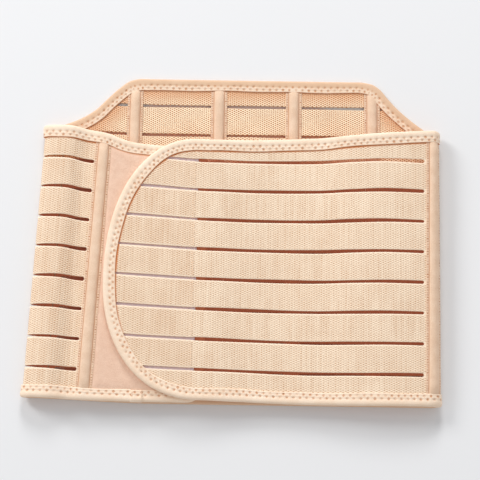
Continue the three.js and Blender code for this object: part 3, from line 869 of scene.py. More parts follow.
# %% [markdown]
# The rows of stitches
#
# The binding has one zigzag over both its faces, with a stitch from row to row. Every channel
# has a straight row down each edge. Short bars hold the tape's lap, and two seams run up the
# belt: a narrow one that holds the hook tape, left out where a slit lies, and a wide zigzag
# over the plain seam behind the left fold.

# %% Threads
OUTER_ZIGZAG = 1.4
INNER_ZIGZAG = -1.3
ROW_INSET = BINDING_WIDTH + 0.6
FLANGE_ROW = 5.8
CHANNEL_STITCH = 2.8
STITCH_GAP = 0.35
LAP_ROWS = (2.6, 5.2, 7.8)
LAP_FACE = 2.75
SEAM_FACE = HALF_CLOTH + 0.28
SEAM_STITCH_GAP = 0.2
HOOK_SEAM = TIP - HOOK_REACH + 1.6


def binding_stitches():
    every = np.arange(0, len(outline), RINGS_IN_STITCH)
    rows = np.where(np.arange(len(every)) % 2 == 0, *STITCH_ROWS)
    places = outline[every] + inward[every] * rows[:, None]
    following = np.roll(places, -1, axis=0)
    faces = np.repeat([OUTER_ZIGZAG, INNER_ZIGZAG], len(every))
    return stitch_mesh("binding_thread", np.tile(places, (2, 1)), np.tile(following, (2, 1)), faces)


def channel_stitches(name, centre, side):
    """A straight row down each edge of a channel."""
    low, high = (float(edge(centre)) for edge in inset_edges(ROW_INSET))
    ends_v = np.linspace(low, high, round((high - low) / CHANNEL_STITCH) + 1)
    starts, finishes = [], []
    for offset in (-FLANGE_ROW, FLANGE_ROW):
        for base, roof in zip(ends_v[:-1], ends_v[1:]):
            starts.append((centre + offset, base + STITCH_GAP))
            finishes.append((centre + offset, roof - STITCH_GAP))
    return stitch_mesh(name, starts, finishes, np.full(len(starts), side * (HALF_CLOTH + 0.5)))


def lap_stitches():
    """Two short rows across the bottom binding, where the tape's ends lap and are sewn down."""
    starts, finishes = [], []
    for beside in (-LAP_HALF_LENGTH, LAP_HALF_LENGTH - 1):
        across = along_at("wing", LAP_AT) + beside
        for inset in LAP_ROWS:
            starts.append((across + 0.5 * np.sin(inset), inset - 1))
            finishes.append((across + 0.5 * np.sin(inset + 2.4), inset + 1.4))
    return stitch_mesh("binding_lap_thread", starts, finishes, np.full(len(starts), LAP_FACE))


def seam_stitches(name, along, pitch, half_width, slits):
    """A zigzag up the outside of the belt, from strip to strip, left out where a slit lies."""
    low, high = (float(edge(along)) for edge in inset_edges(ROW_INSET))
    starts, finishes = [], []
    for number, base in enumerate(np.arange(low, high, pitch)[:-1]):
        strips = (base + pitch / 2) / SLIT_PITCH
        to_slit = abs(strips - round(strips)) * SLIT_PITCH
        if slits and to_slit < SLIT_GAP / 2 + pitch / 2:
            continue
        turn = half_width if number % 2 else -half_width
        starts.append((along + turn, base + SEAM_STITCH_GAP))
        finishes.append((along - turn, base + pitch - SEAM_STITCH_GAP))
    return stitch_mesh(name, starts, finishes, np.full(len(starts), SEAM_FACE))


threads = [
    binding_stitches(),
    lap_stitches(),
    seam_stitches("hook_seam_thread", HOOK_SEAM, 2.6, 0.12, True),
    seam_stitches("back_seam_thread", SEAM_BEHIND, 2.2, 2.1, False),
    channel_stitches("channel_thread_left", LEFT_CHANNEL, 1),
    channel_stitches("channel_thread_right", RIGHT_SEAM, 1),
]
for number, centre in enumerate(back_centres, start=1):
    threads.append(channel_stitches(f"channel_thread_back_{number}", centre, -1))
for thread in threads:
    finish_piece(thread, "binding" if "binding" in thread.name else "channel_tape")

# %% [markdown]
# Finishes shared by the cloths
#
# A finish is a small machine of nodes: it takes a place on the cloth and reckons a colour or a
# height from it, so it stays sharp from any distance and needs no picture. Three effects are
# used by more than one cloth. Each is a node group, built once and placed in a material with
# that material's own values. The helpers that wire the nodes come first.

# %% Helpers that wire nodes
def feed(tree, socket, value):
    """Gives a socket its value: a number or colour of its own, or another node's output."""
    if isinstance(value, bpy.types.NodeSocket):
        tree.links.new(value, socket)
    else:
        socket.default_value = value


def calc(tree, operation, *values, clamp=False):
    """A math node, with numbers or other nodes' outputs as its values."""
    node = tree.nodes.new("ShaderNodeMath")
    node.operation = operation
    node.use_clamp = clamp
    for socket, value in zip(node.inputs, values):
        feed(tree, socket, value)
    return node.outputs[0]


def noise(tree, place, scale, detail):
    node = tree.nodes.new("ShaderNodeTexNoise")
    feed(tree, node.inputs["Vector"], place)
    feed(tree, node.inputs["Scale"], scale)
    feed(tree, node.inputs["Detail"], detail)
    return node.outputs["Fac"]


def parts_of(tree, place):
    """The X, Y and Z of a place."""
    node = tree.nodes.new("ShaderNodeSeparateXYZ")
    tree.links.new(place, node.inputs[0])
    return node.outputs


def new_group(name, place, values, results):
    """A node group that takes a place and named values, and puts out named masks or heights."""
    group = bpy.data.node_groups.new(name, "ShaderNodeTree")
    sockets = group.interface
    sockets.new_socket(name=place, in_out="INPUT", socket_type="NodeSocketVector")
    for title, value in values.items():
        socket = sockets.new_socket(name=title, in_out="INPUT", socket_type="NodeSocketFloat")
        socket.default_value = value
    for title in results:
        sockets.new_socket(name=title, in_out="OUTPUT", socket_type="NodeSocketFloat")
    given = group.nodes.new("NodeGroupInput")
    made = group.nodes.new("NodeGroupOutput")
    return group, given.outputs, made.inputs


def place_group(tree, group, values):
    """A node group placed in a material, with some of its inputs set or fed."""
    node = tree.nodes.new("ShaderNodeGroup")
    node.node_tree = group
    for title, value in values.items():
        feed(tree, node.inputs[title], value)
    return node.outputs


print("helpers ready: feed, calc, noise, parts_of, new_group, place_group")

# %% [markdown]
# The stitches of the knit
#
# Elastic is a fine knit whose stitches sit in staggered columns. They could be modelled, but
# there are tens of thousands of them. Two cosines multiplied give exactly such a lattice, and a
# little noise moves each stitch off its place, as a machine's uneven tension does.

# %% Stitch lattice
COLUMN = 0.00212
ROW = 0.00197
UNEVENNESS = 0.12
WANDER_SCALE = 320
UP_WANDER = 1.4
GAP_LEVEL = 0.25
GAP_DEPTH = 1.6


def stitch_lattice():
    """Staggered stitches: their height, the column ridges and the gaps between stitches."""
    group, given, made = new_group(
        "stitch lattice", "Pattern",
        {"Column": COLUMN, "Row": ROW, "Unevenness": UNEVENNESS}, ["Stitch", "Ridge", "Gap"])
    place = parts_of(group, given["Pattern"])
    wander = calc(group, "SUBTRACT", noise(group, given["Pattern"], WANDER_SCALE, 1), 0.5)
    wander = calc(group, "MULTIPLY", wander, given["Unevenness"])
    across = calc(group, "DIVIDE", place["X"], given["Column"])
    across = calc(group, "ADD", across, wander)
    up = calc(group, "DIVIDE", place["Y"], given["Row"])
    up = calc(group, "ADD", up, calc(group, "MULTIPLY", wander, UP_WANDER))
    half_wave = calc(group, "COSINE", calc(group, "MULTIPLY", across, np.pi))
    row_wave = calc(group, "COSINE", calc(group, "MULTIPLY", up, 2 * np.pi))
    full_wave = calc(group, "COSINE", calc(group, "MULTIPLY", across, 2 * np.pi))
    lattice = calc(group, "MULTIPLY", half_wave, row_wave)
    between_stitches = calc(group, "ADD", lattice, GAP_LEVEL)
    heights = {
        "Stitch": calc(group, "MULTIPLY_ADD", lattice, 0.5, 0.5),
        "Ridge": calc(group, "MULTIPLY_ADD", full_wave, 0.5, 0.5),
        "Gap": calc(group, "MULTIPLY", between_stitches, -GAP_DEPTH, clamp=True),
    }
    for name, height in heights.items():
        group.links.new(height, made[name])
    return group


lattice_group = stitch_lattice()
print(f"{lattice_group.name}: a column every {COLUMN / MM:.2f} mm, a row every {ROW / MM:.2f} mm")

# %% [markdown]
# Soft variation
#
# No cloth has one even colour. Broad noise stands for how it took the dye and was handled, and
# fine noise for its fibres. Both read the point's place in the one frame, so they need no
# chart and run on from piece to piece.

# %% Soft cloth
def soft_cloth():
    """Broad unevenness of colour and fine fibre for any cloth."""
    group, given, made = new_group(
        "soft cloth", "Place", {"Blotch Scale": 40.0, "Fibre Scale": 1400.0}, ["Blotch", "Fibre"])
    for name, detail in (("Blotch", 3), ("Fibre", 2)):
        cloth_noise = noise(group, given["Place"], given[f"{name} Scale"], detail)
        group.links.new(cloth_noise, made[name])
    return group


cloth_group = soft_cloth()
print(f"{cloth_group.name}: blotches and fibres")

# %% [markdown]
# Needle holes
#
# Where a needle went through, the tape dips into shade. The dimples of the binding are in its
# mesh, and this mask says where their shade is painted. It measures how far a point is from
# the nearest hole of two staggered rows, and noise makes some holes deeper than others.

# %% Needle holes
HOLE_SCALE = 150
HOLE_STRENGTH = (4.6, -1.3)


def needle_holes():
    """Deeper spots where a needle went through: two staggered rows along a seam's run."""
    values = {"Run": 0.0, "Inset": 0.0, "Pitch": 0.0057}
    values.update({"First Row": 0.0059, "Second Row": 0.0085, "Radius": 0.0008})
    group, given, made = new_group("needle holes", "Place", values, ["Hole"])
    spots = []
    for row, half_turn in (("First Row", 0.5), ("Second Row", 0.0)):
        turns = calc(group, "DIVIDE", given["Run"], given["Pitch"])
        turns = calc(group, "ADD", turns, half_turn)
        nearest = calc(group, "SUBTRACT", calc(group, "FRACT", turns), 0.5)
        beside = calc(group, "MULTIPLY", nearest, given["Pitch"])
        above = calc(group, "SUBTRACT", given["Inset"], given[row])
        squares = [calc(group, "MULTIPLY", side, side) for side in (beside, above)]
        apart = calc(group, "SQRT", calc(group, "ADD", *squares))
        share = calc(group, "DIVIDE", apart, given["Radius"])
        spots.append(calc(group, "SUBTRACT", 1.0, share, clamp=True))
    both_rows = calc(group, "MAXIMUM", *spots)
    uneven = noise(group, given["Place"], HOLE_SCALE, 2)
    strength = calc(group, "MULTIPLY_ADD", uneven, *HOLE_STRENGTH)
    hole = calc(group, "MULTIPLY", both_rows, strength, clamp=True)
    group.links.new(hole, made["Hole"])
    return group


holes_group = needle_holes()
print("node groups:", ", ".join(group.name for group in (lattice_group, cloth_group, holes_group)))

# %% [markdown]
# Places, masks and mixes
#
# A finish asks where a point is in one of two ways. Its chart is the flat pattern that was kept
# as a UV map, which follows the cloth round the folds. Its place in the one frame says where it
# lies on the table. A mask is 1 inside a stretch of either and fades to 0 outside it.

# %% Helpers for places and colours
def linear(red, green, blue):
    """A colour of the cloth, given in the 0 to 255 of a picture, as linear light."""
    shares = np.array([red, green, blue]) / 255
    light = np.where(shares <= 0.04045, shares / 12.92, ((shares + 0.055) / 1.055) ** 2.4)
    return (*light.tolist(), 1.0)


def chart(tree):
    """A point's place on the chart of its piece, in metres."""
    node = tree.nodes.new("ShaderNodeUVMap")
    node.uv_map = FLAT_MAP
    return node.outputs["UV"]


def chart_place(tree):
    return parts_of(tree, chart(tree))


def object_coordinates(tree):
    return tree.nodes.new("ShaderNodeTexCoord").outputs["Object"]


def object_place(tree):
    """The X, Y and Z of a point in the one frame, in metres."""
    return parts_of(tree, object_coordinates(tree))


def between(tree, place, first, last, fade):
    """A mask that is 1 from the first to the last place and fades away outside them."""
    rising = calc(tree, "SUBTRACT", place, first)
    rising = calc(tree, "MULTIPLY_ADD", rising, 1 / fade, 1, clamp=True)
    falling = calc(tree, "SUBTRACT", last, place)
    falling = calc(tree, "MULTIPLY_ADD", falling, 1 / fade, 1, clamp=True)
    return calc(tree, "MULTIPLY", rising, falling)


def colour_mix(tree, first, second, share=None):
    """A mix of two colours by a share of the second, which may be fed later."""
    node = tree.nodes.new("ShaderNodeMix")
    node.data_type = "RGBA"
    feed(tree, node.inputs["A"], first)
    feed(tree, node.inputs["B"], second)
    if share is not None:
        feed(tree, node.inputs["Factor"], share)
    return node


print("the palest yarn as linear light:", [round(part, 3) for part in linear(250, 231, 207)])

# %% [markdown]
# How every cloth begins
#
# Each material mixes the lit colour of its yarn with a deeper one down in the gaps. Thin cloth
# also lets light through, and a belt that lies closed glows warm inside from it. Subsurface
# scattering leaves the cloth noisy and greenish and the hollow black. A small warm emission on
# every cloth stands in for the light instead.

# %% The start of a finish
SOAKED = (0.03, 0.0105, 0.001, 1)
MATTE = {"Roughness": 0.9, "Sheen Roughness": 0.5, "Specular IOR Level": 0.25}
SOFT_SHARE = 0.8
SOFT_LEVEL = 0.6
SOFT_BUMP = 0.7

Finish = namedtuple("Finish", "material tree shader soft depth colour")


def cloth_finish(name, yarn, deep, scales=None, sheen=0.15):
    """A cloth with a mix of two yarn colours. What feeds its depth says where the deep one is."""
    material = bpy.data.materials.new(name)
    material.use_nodes = True
    tree = material.node_tree
    shader = tree.nodes["Principled BSDF"]
    glow = {"Emission Color": SOAKED, "Emission Strength": 1}
    for title, value in {**MATTE, **glow, "Sheen Weight": sheen}.items():
        shader.inputs[title].default_value = value
    soft = place_group(tree, cloth_group, {"Place": object_coordinates(tree), **(scales or {})})
    mix = colour_mix(tree, linear(*yarn), linear(*deep))
    tree.links.new(mix.outputs["Result"], shader.inputs["Base Color"])
    return Finish(material, tree, shader, soft, mix.inputs["Factor"], mix.outputs["Result"])


def bumped(finish, height, distance, strength):
    """Raises the yarn with a bump whose height of 1 is a distance in metres."""
    bump = finish.tree.nodes.new("ShaderNodeBump")
    bump.inputs["Distance"].default_value = distance
    bump.inputs["Strength"].default_value = strength
    finish.tree.links.new(height, bump.inputs["Height"])
    finish.tree.links.new(bump.outputs["Normal"], finish.shader.inputs["Normal"])


def recoloured(finish, share, colour):
    """A finish with a colour laid over it, by a share that changes from place to place."""
    mix = colour_mix(finish.tree, finish.colour, linear(*colour), share)
    finish.tree.links.new(mix.outputs["Result"], finish.shader.inputs["Base Color"])
    return finish._replace(colour=mix.outputs["Result"])


def plain_cloth(name, yarn, deep, blotch_scale, fibre_scale, distance, sheen=0.15):
    """A tape or fleece: soft variation of colour and a fibre bump."""
    scales = {"Blotch Scale": blotch_scale, "Fibre Scale": fibre_scale}
    finish = cloth_finish(name, yarn, deep, scales, sheen)
    both = calc(finish.tree, "ADD", finish.soft["Blotch"], finish.soft["Fibre"])
    least = -SOFT_SHARE * SOFT_LEVEL
    depth = calc(finish.tree, "MULTIPLY_ADD", both, SOFT_SHARE, least, clamp=True)
    finish.tree.links.new(depth, finish.depth)
    bumped(finish, both, distance, SOFT_BUMP)
    return finish


lips = plain_cloth("cut lips", (244, 220, 192), (222, 186, 150), 200, 1500, 0.0001)
print("first finish:", lips.material.name)

# %% [markdown]
# The woven outside
#
# From outside, the elastic shows fine ribs up the cloth with small pits between them. Some
# columns are pulled tighter and look darker. Each strip has a selvedge that is plainer than its
# middle, with a painted highlight just below a slit and a painted brown shadow line where it
# goes in under the binding. It is also a little deeper in colour over the hooks and on the wing.

# %% Woven elastic
LIP_AT = 10.9
SHADE_LINE_FROM = -0.05
SHADE_LINE_FADE = 0.05
SELVEDGE = 0.07
SELVEDGE_PLAIN = 0.75
SELVEDGE_HIGHLIGHT = 0.25
STREAK_STRETCH = (1, 0.05, 1)
STREAK_SCALE = 420
PIT_DEPTH = (1.1, 0.25)
VALLEY_DEPTH = 0.17
WOVEN_BLOTCH = (0.3, -0.28)
STREAK_DEPTH = 0.35
DEEPER_CLOTH = 0.1
PLACE_FADE = 0.0004


def streaks(tree):
    """Faint columns in the weave, long up the cloth and narrow along it."""
    stretch = tree.nodes.new("ShaderNodeMapping")
    stretch.inputs["Scale"].default_value = STREAK_STRETCH
    tree.links.new(chart(tree), stretch.inputs["Vector"])
    return noise(tree, stretch.outputs["Vector"], STREAK_SCALE, 2)


def shade_beside_binding(finish, colour, reach, most):
    """Paints shade on a cloth along the binding's inner lip, but not along the lit bottom edge."""
    tree = finish.tree
    kept = tree.nodes.new("ShaderNodeAttribute")
    kept.attribute_name = FROM_EDGE
    lip = between(tree, kept.outputs["Fac"], 0, LIP_AT * MM, reach * MM)
    higher = between(tree, object_place(tree)["Y"], SHADE_LINE_FROM, 1, SHADE_LINE_FADE)
    share = calc(tree, "MULTIPLY", calc(tree, "MULTIPLY", lip, most), higher)
    return recoloured(finish, share, colour)


def selvedges(tree):
    """Masks for the edges of the strips: both sides of a slit, and the side just below it."""
    turns = calc(tree, "DIVIDE", chart_place(tree)["Y"], SLIT_PITCH * MM)
    from_slit = calc(tree, "FRACT", calc(tree, "ADD", turns, 0.5))
    from_slit = calc(tree, "SUBTRACT", from_slit, 0.5)
    both = between(tree, from_slit, -SELVEDGE, SELVEDGE, SELVEDGE / 2)
    return both, between(tree, from_slit, -SELVEDGE, 0, SELVEDGE / 4)


def elastic_outside():
    finish = cloth_finish("woven elastic", (250, 231, 207), (190, 140, 97))
    tree = finish.tree
    lattice = place_group(tree, lattice_group, {"Pattern": chart(tree)})
    both_sides, lower_side = selvedges(tree)
    plain = calc(tree, "MULTIPLY_ADD", both_sides, -SELVEDGE_PLAIN, 1)
    streak = streaks(tree)
    pits = calc(tree, "MULTIPLY", lattice["Gap"], calc(tree, "MULTIPLY_ADD", streak, *PIT_DEPTH))
    valleys = calc(tree, "SUBTRACT", 1.0, lattice["Ridge"])
    depth = calc(tree, "MULTIPLY_ADD", valleys, VALLEY_DEPTH, pits)
    tint = calc(tree, "MULTIPLY_ADD", finish.soft["Blotch"], *WOVEN_BLOTCH)
    tint = calc(tree, "MULTIPLY_ADD", streak, STREAK_DEPTH, tint)
    for first, last in ((HOOK_SEAM * MM, 1), (-1, SEAM_BEHIND * MM)):
        deeper = between(tree, chart_place(tree)["X"], first, last, PLACE_FADE)
        tint = calc(tree, "MULTIPLY_ADD", deeper, DEEPER_CLOTH, tint)
    depth = calc(tree, "ADD", depth, tint, clamp=True)
    tree.links.new(calc(tree, "MULTIPLY", depth, plain), finish.depth)
    # A painted highlight on each strip's edge just below a slit.
    light = calc(tree, "MULTIPLY", lower_side, SELVEDGE_HIGHLIGHT)
    # A painted brown shadow line where the cloth goes in under the binding's lip.
    shade_beside_binding(recoloured(finish, light, (252, 236, 216)), (210, 118, 52), 1.3, 0.9)
    height = calc(tree, "MULTIPLY_ADD", lattice["Ridge"], 0.5, lattice["Stitch"])
    height = calc(tree, "MULTIPLY", height, plain)
    height = calc(tree, "MULTIPLY_ADD", finish.soft["Fibre"], 0.3, height)
    bumped(finish, height, 0.0003, 0.8)
    return finish


woven = elastic_outside()
print("outside:", woven.material.name)

# %% [markdown]
# The knit inside and the hollow
#
# Inside, the same cloth shows its rounder knit, with a painted warm shade near the binding. Where
# the front covers it, all the light has come through cloth and turned a deep red brown, which is
# what the slits of the front show. A mask finds the covered part: above the bottom edge, below
# the front's top edge, and a little lower beside the folds, where light comes in. There the base
# colour is a painted deep shade and the emission a painted glow; they stand in for that light,
# as the small emission does elsewhere.

# %% Knit inside, and the light in the hollow
# The hollow's painted deep shade, and its painted glow.
HOLLOW_SHADE = (172, 98, 62)
HOLLOW_GLOW = (0.145, 0.05, 0.027, 1)
HOLLOW_TOP = 0.2105
HOLLOW_FOOT = 0.01
HOLLOW_FADE = 0.014
FOOT_SLOPE = 70
SIDE_FROM = 0.118
SIDE_SLOPE = 30
SIDE_LIGHT = 0.012
# A painted warm glow, stronger than elsewhere, on the knit where it is not covered.
KNIT_SOAKED = (0.085, 0.03, 0.009, 1)
KNIT_PITCH = 0.0019
KNIT_BLOTCH = (0.4, -0.135)


def hollow_mask(tree):
    """1 where the inside of the back is covered, less near the folds, where light comes in."""
    up = chart_place(tree)["Y"]
    beside = calc(tree, "ABSOLUTE", object_place(tree)["X"])
    beside = calc(tree, "SUBTRACT", beside, SIDE_FROM)
    beside = calc(tree, "MULTIPLY", beside, SIDE_SLOPE, clamp=True)
    top = calc(tree, "MULTIPLY_ADD", beside, -SIDE_LIGHT, HOLLOW_TOP)
    below = calc(tree, "SUBTRACT", top, up)
    below = calc(tree, "MULTIPLY_ADD", below, 1 / HOLLOW_FADE, 1, clamp=True)
    above = calc(tree, "SUBTRACT", up, HOLLOW_FOOT)
    above = calc(tree, "MULTIPLY", above, FOOT_SLOPE, clamp=True)
    return calc(tree, "MULTIPLY", above, below)


def painted_hollow_shade(finish, covered, soaked=SOAKED):
    """A finish with a painted deep red-brown shade and a painted faint glow where it is covered."""
    glow = colour_mix(finish.tree, soaked, HOLLOW_GLOW, covered)
    finish.tree.links.new(glow.outputs["Result"], finish.shader.inputs["Emission Color"])
    return recoloured(finish, covered, HOLLOW_SHADE)


def elastic_inside():
    finish = cloth_finish("knit inside", (248, 232, 202), (178, 102, 52))
    tree = finish.tree
    # A painted warm shade on the knit near the binding.
    warmed = shade_beside_binding(finish, (206, 134, 82), 15, 0.6)
    # Painted deep shade and glow where the front covers the knit.
    painted_hollow_shade(warmed, hollow_mask(tree), KNIT_SOAKED)
    lattice = place_group(tree, lattice_group, {
        "Pattern": chart(tree), "Column": KNIT_PITCH, "Row": KNIT_PITCH, "Unevenness": 0.18})
    holes = calc(tree, "MULTIPLY", lattice["Gap"], 1.9, clamp=True)
    blotch = calc(tree, "MULTIPLY_ADD", finish.soft["Blotch"], *KNIT_BLOTCH)
    tree.links.new(calc(tree, "ADD", holes, blotch, clamp=True), finish.depth)
    height = calc(tree, "MULTIPLY_ADD", finish.soft["Fibre"], 0.25, lattice["Stitch"])
    bumped(finish, height, 0.0005, 0.9)
    return finish


knit = elastic_inside()
for panel in (left_panel, back_panel, right_panel):
    for place, finish in enumerate((woven, knit, lips)):
        panel.data.materials[place] = finish.material
print("panels dressed in:", ", ".join(finish.material.name for finish in (woven, knit, lips)))

# %% [markdown]
# The binding's tape
#
# The tape is one colour with soft wear, and shade is painted over it: tan along the roll at the
# back and underneath, a brown shadow line under its inner lip, and a dark spot in the dimple of
# each needle hole. They are laid over each other as a painter would, and each step takes a
# finish and gives one back. The wing's end is covered by the flap, so there the tape and its
# thread take the hollow's painted shade.

# %% Binding tape
BACK_RIM = 0.118
LOW_ROLL = 0.004
ROLL_INSET = 0.0052
ROLL_SHADE_DEPTH = (0.55, 0.12)
WING_END = (-0.039, -0.019)
WING_END_UP = (-0.118, 0.088)
WING_END_TOP = 0.0131


def shaded_roll(finish, colour):
    """Paints a tan shade on the binding's roll round the back and underneath."""
    tree = finish.tree
    place = object_place(tree)
    on_rim = between(tree, place["Y"], BACK_RIM, 1, 0.01)
    underneath = between(tree, place["Z"], -1, LOW_ROLL, 0.001)
    shaded_side = calc(tree, "MAXIMUM", on_rim, underneath)
    outer = between(tree, chart_place(tree)["Y"], -1, ROLL_INSET, 0.002)
    share = calc(tree, "MULTIPLY", calc(tree, "MULTIPLY_ADD", outer, *ROLL_SHADE_DEPTH), shaded_side)
    return recoloured(finish, share, colour)


def painted_shade_line(finish, colour, first, width, axis="X", lowest=-1.0):
    """Paints a line of shade on a tape where a chart's axis, taken without its sign, passes a
    place.
    """
    tree = finish.tree
    away = calc(tree, "ABSOLUTE", chart_place(tree)[axis])
    away = calc(tree, "ABSOLUTE", calc(tree, "SUBTRACT", away, first * MM))
    line = calc(tree, "SUBTRACT", 1.0, calc(tree, "DIVIDE", away, width * MM), clamp=True)
    higher = between(tree, object_place(tree)["Y"], lowest, 1, SHADE_LINE_FADE)
    return recoloured(finish, calc(tree, "MULTIPLY", line, higher), colour)


def shaded_needle_holes(finish, colour, pitch, rows, radius, run="X", inset="Y"):
    """Paints shade in a needle's holes on a tape. The run and the inset are axes of its chart."""
    tree = finish.tree
    pattern = chart(tree)
    place = parts_of(tree, pattern)
    holes = place_group(tree, holes_group, {
        "Place": pattern, "Run": place[run], "Inset": calc(tree, "ABSOLUTE", place[inset]),
        "Pitch": pitch * MM, "First Row": rows[0] * MM, "Second Row": rows[1] * MM,
        "Radius": radius * MM})
    return recoloured(finish, holes["Hole"], colour)


def shade_under_flap(finish):
    """Paints the hollow's shade on the part of a tape or thread that ends the wing, under the flap.
    """
    tree = finish.tree
    place = object_place(tree)
    across = between(tree, place["X"], *WING_END, 0.002)
    up = between(tree, place["Y"], *WING_END_UP, 0.01)
    low_down = between(tree, place["Z"], -1, WING_END_TOP, 0.0002)
    covered = calc(tree, "MULTIPLY", calc(tree, "MULTIPLY", across, up), low_down)
    return painted_hollow_shade(finish, covered)


tape = plain_cloth("binding tape", (250, 232, 212), (228, 194, 162), 90, 1500, 0.0002)
# A painted tan shade on the roll at the back and underneath.
tape = shaded_roll(tape, (212, 170, 134))
# A painted brown shadow line under the binding's inner lip, left off the lit bottom edge.
tape = painted_shade_line(tape, (196, 118, 62), 10.66, 0.6, axis="Y", lowest=SHADE_LINE_FROM)
# Painted shade in the dimples of the binding's needle holes.
tape = shaded_needle_holes(tape, (204, 148, 110), 2 * HALF_STITCH, STITCH_ROWS, 1.6)
# The tape's end under the flap takes a painted shade.
binding.data.materials.append(shade_under_flap(tape).material)
print("binding dressed in:", tape.material.name)

# %% [markdown]
# Channel tape
#
# The channels are a smoother, slightly browner tape, with painted shade in the crease beside
# the stay and in one row of holes down each edge. All six share one material. The four inside
# the back lie low, under the front, so a mask by height lets only them take the hollow's
# painted shade.

# %% Channel tape
INNER_TOP = 0.0064
CREASE = 4.6


def inner_channel_shade(tree):
    """The hollow's painted-shade mask for the low channels inside the back, not the outer two."""
    low_down = between(tree, object_place(tree)["Z"], -1, INNER_TOP, PLACE_FADE)
    return calc(tree, "MULTIPLY", hollow_mask(tree), low_down)


tape = plain_cloth("channel tape", (238, 212, 188), (210, 172, 140), 120, 1200, 0.0003)
# A painted line of shade in the crease beside the stay.
tape = painted_shade_line(tape, (196, 136, 96), CREASE, 0.45)
# Painted shade in the holes down each edge of a channel.
tape = shaded_needle_holes(tape, (176, 112, 72), 4.4, (5.9, 5.9), 1.0, run="Y", inset="X")
# The hollow's painted deep shade and glow on the four channels inside the back.
tape = painted_hollow_shade(tape, inner_channel_shade(tape.tree))
for channel in channels.values():
    channel.data.materials.append(tape.material)
print(len(channels), "channels dressed in:", tape.material.name)

# %% [markdown]
# Fleece, hook tape and thread
#
# Fleece is brushed, so it scatters light at grazing angles. More sheen than on the tapes gives
# that haze. The hook tape is the one cool colour on the belt. The thread is as pale as the
# binding it sews, with the finest fibre of all.

# %% Fleece, hook tape and thread
pile = plain_cloth(
    "loop fleece", (238, 206, 184), (216, 174, 148), 160, 900, 0.0005, sheen=0.3)
# A painted brown shadow line on the fleece along the binding's lip.
pile = shade_beside_binding(pile, (206, 134, 88), 1.2, 0.7)
fleece.data.materials.append(pile.material)
hook_tape = plain_cloth("hook tape", (226, 212, 218), (198, 178, 186), 200, 1100, 0.0004)
hooks.data.materials.append(hook_tape.material)
yarn = plain_cloth("thread", (250, 230, 208), (226, 194, 162), 200, 2500, 0.0001)
# The thread under the flap takes the same painted shade.
yarn = shade_under_flap(yarn)
for thread in threads:
    thread.data.materials.append(yarn.material)
print("materials:", ", ".join(sorted(material.name for material in bpy.data.materials)))

# %% [markdown]
# Cloth facts
#
# The size that each sheet was cut to before it was sewn is worked out and printed, so that
# whoever moves or drapes the belt later knows how much cloth there is.


def declare_panel(piece, first, last, inset):
    """Prints the size of the stretch of the pattern that a piece was cut from."""
    low, high = inset_edges(inset)
    u = np.linspace(first, last, 400)
    height = (high(u).max() - low(u).min()) * MM
    width = (last - first) * MM
    area = float(np.mean(high(u) - low(u))) * (last - first) * MM * MM
    area = min(area, width * height)
    print(f"{piece.name}: cut {width * 1000:.0f} x {height * 1000:.0f} mm, {area:.4f} m2")


declare_panel(back_panel, SEAM_BEHIND, RIGHT_SEAM, CUT_EDGE)
declare_panel(left_panel, LEFT_CHANNEL, SEAM_BEHIND, CUT_EDGE)
declare_panel(right_panel, RIGHT_SEAM, TIP - FLAP_CUT, CUT_EDGE)
declare_panel(fleece, CUT_EDGE, LEFT_CHANNEL, CUT_EDGE)
declare_panel(hooks, TIP - HOOK_REACH, TIP - BINDING_WIDTH, HOOK_INSET)

for node, channel in channels.items():
    bottom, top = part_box(node)[0][1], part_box(node)[1][1]

# %% [markdown]
# The table
#
# The belt lies on a plain white table. Under the belt the table is in shade, warmed by light
# that has come through the slits and the cloth, so a darker, warm patch is painted on the floor
# there, on its upper face alone, which narrows where the back's top edge slopes in. The floor
# lies 0.3 mm below the solids, because the soft roll of the binding reaches that far under the
# back.

# %% Floor
FLOOR_SIZE = 6
FLOOR_LEVEL = -0.0003
FLOOR_WHITE = (0.83, 0.835, 0.85, 1)
FLOOR_SHADE_UNDER_BELT = (0.78, 0.42, 0.3, 1)
PATCH_HALF_WIDTH = 0.142
PATCH_UP = (-0.12, 0.109)
PATCH_FADES = (0.008, 0.02)
SHOULDER_AT = 0.09
SHOULDER_SLOPE = 2.25

deselect_all()
bpy.ops.mesh.primitive_plane_add(size=FLOOR_SIZE, location=(0, 0, FLOOR_LEVEL))
floor = bpy.context.object
floor.name = "floor"
floor_material = bpy.data.materials.new("floor white")
floor_material.use_nodes = True
tree = floor_material.node_tree
floor_shader = tree.nodes["Principled BSDF"]
floor_place = object_place(tree)
above_shoulder = calc(tree, "SUBTRACT", floor_place["Y"], SHOULDER_AT)
above_shoulder = calc(tree, "MAXIMUM", above_shoulder, 0.0)
from_middle = calc(tree, "ABSOLUTE", floor_place["X"])
from_middle = calc(tree, "MULTIPLY_ADD", above_shoulder, SHOULDER_SLOPE, from_middle)
across_patch = between(tree, from_middle, -1, PATCH_HALF_WIDTH, PATCH_FADES[0])
up_patch = between(tree, floor_place["Y"], *PATCH_UP, PATCH_FADES[1])
under_belt = calc(tree, "MULTIPLY", across_patch, up_patch)
floor_side = tree.nodes.new("ShaderNodeNewGeometry")
upper_face = calc(tree, "SUBTRACT", 1.0, floor_side.outputs["Backfacing"])
under_belt = calc(tree, "MULTIPLY", under_belt, upper_face)
# A painted patch of warm shade on the floor under the belt.
floor_colour = colour_mix(tree, FLOOR_WHITE, FLOOR_SHADE_UNDER_BELT, under_belt)
tree.links.new(floor_colour.outputs["Result"], floor_shader.inputs["Base Color"])
floor_shader.inputs["Roughness"].default_value = 0.8
floor_shader.inputs["Specular IOR Level"].default_value = 0.1
floor.data.materials.append(floor_material)
print(f"floor: {FLOOR_SIZE} m wide, {-FLOOR_LEVEL / MM:.1f} mm below the solids")

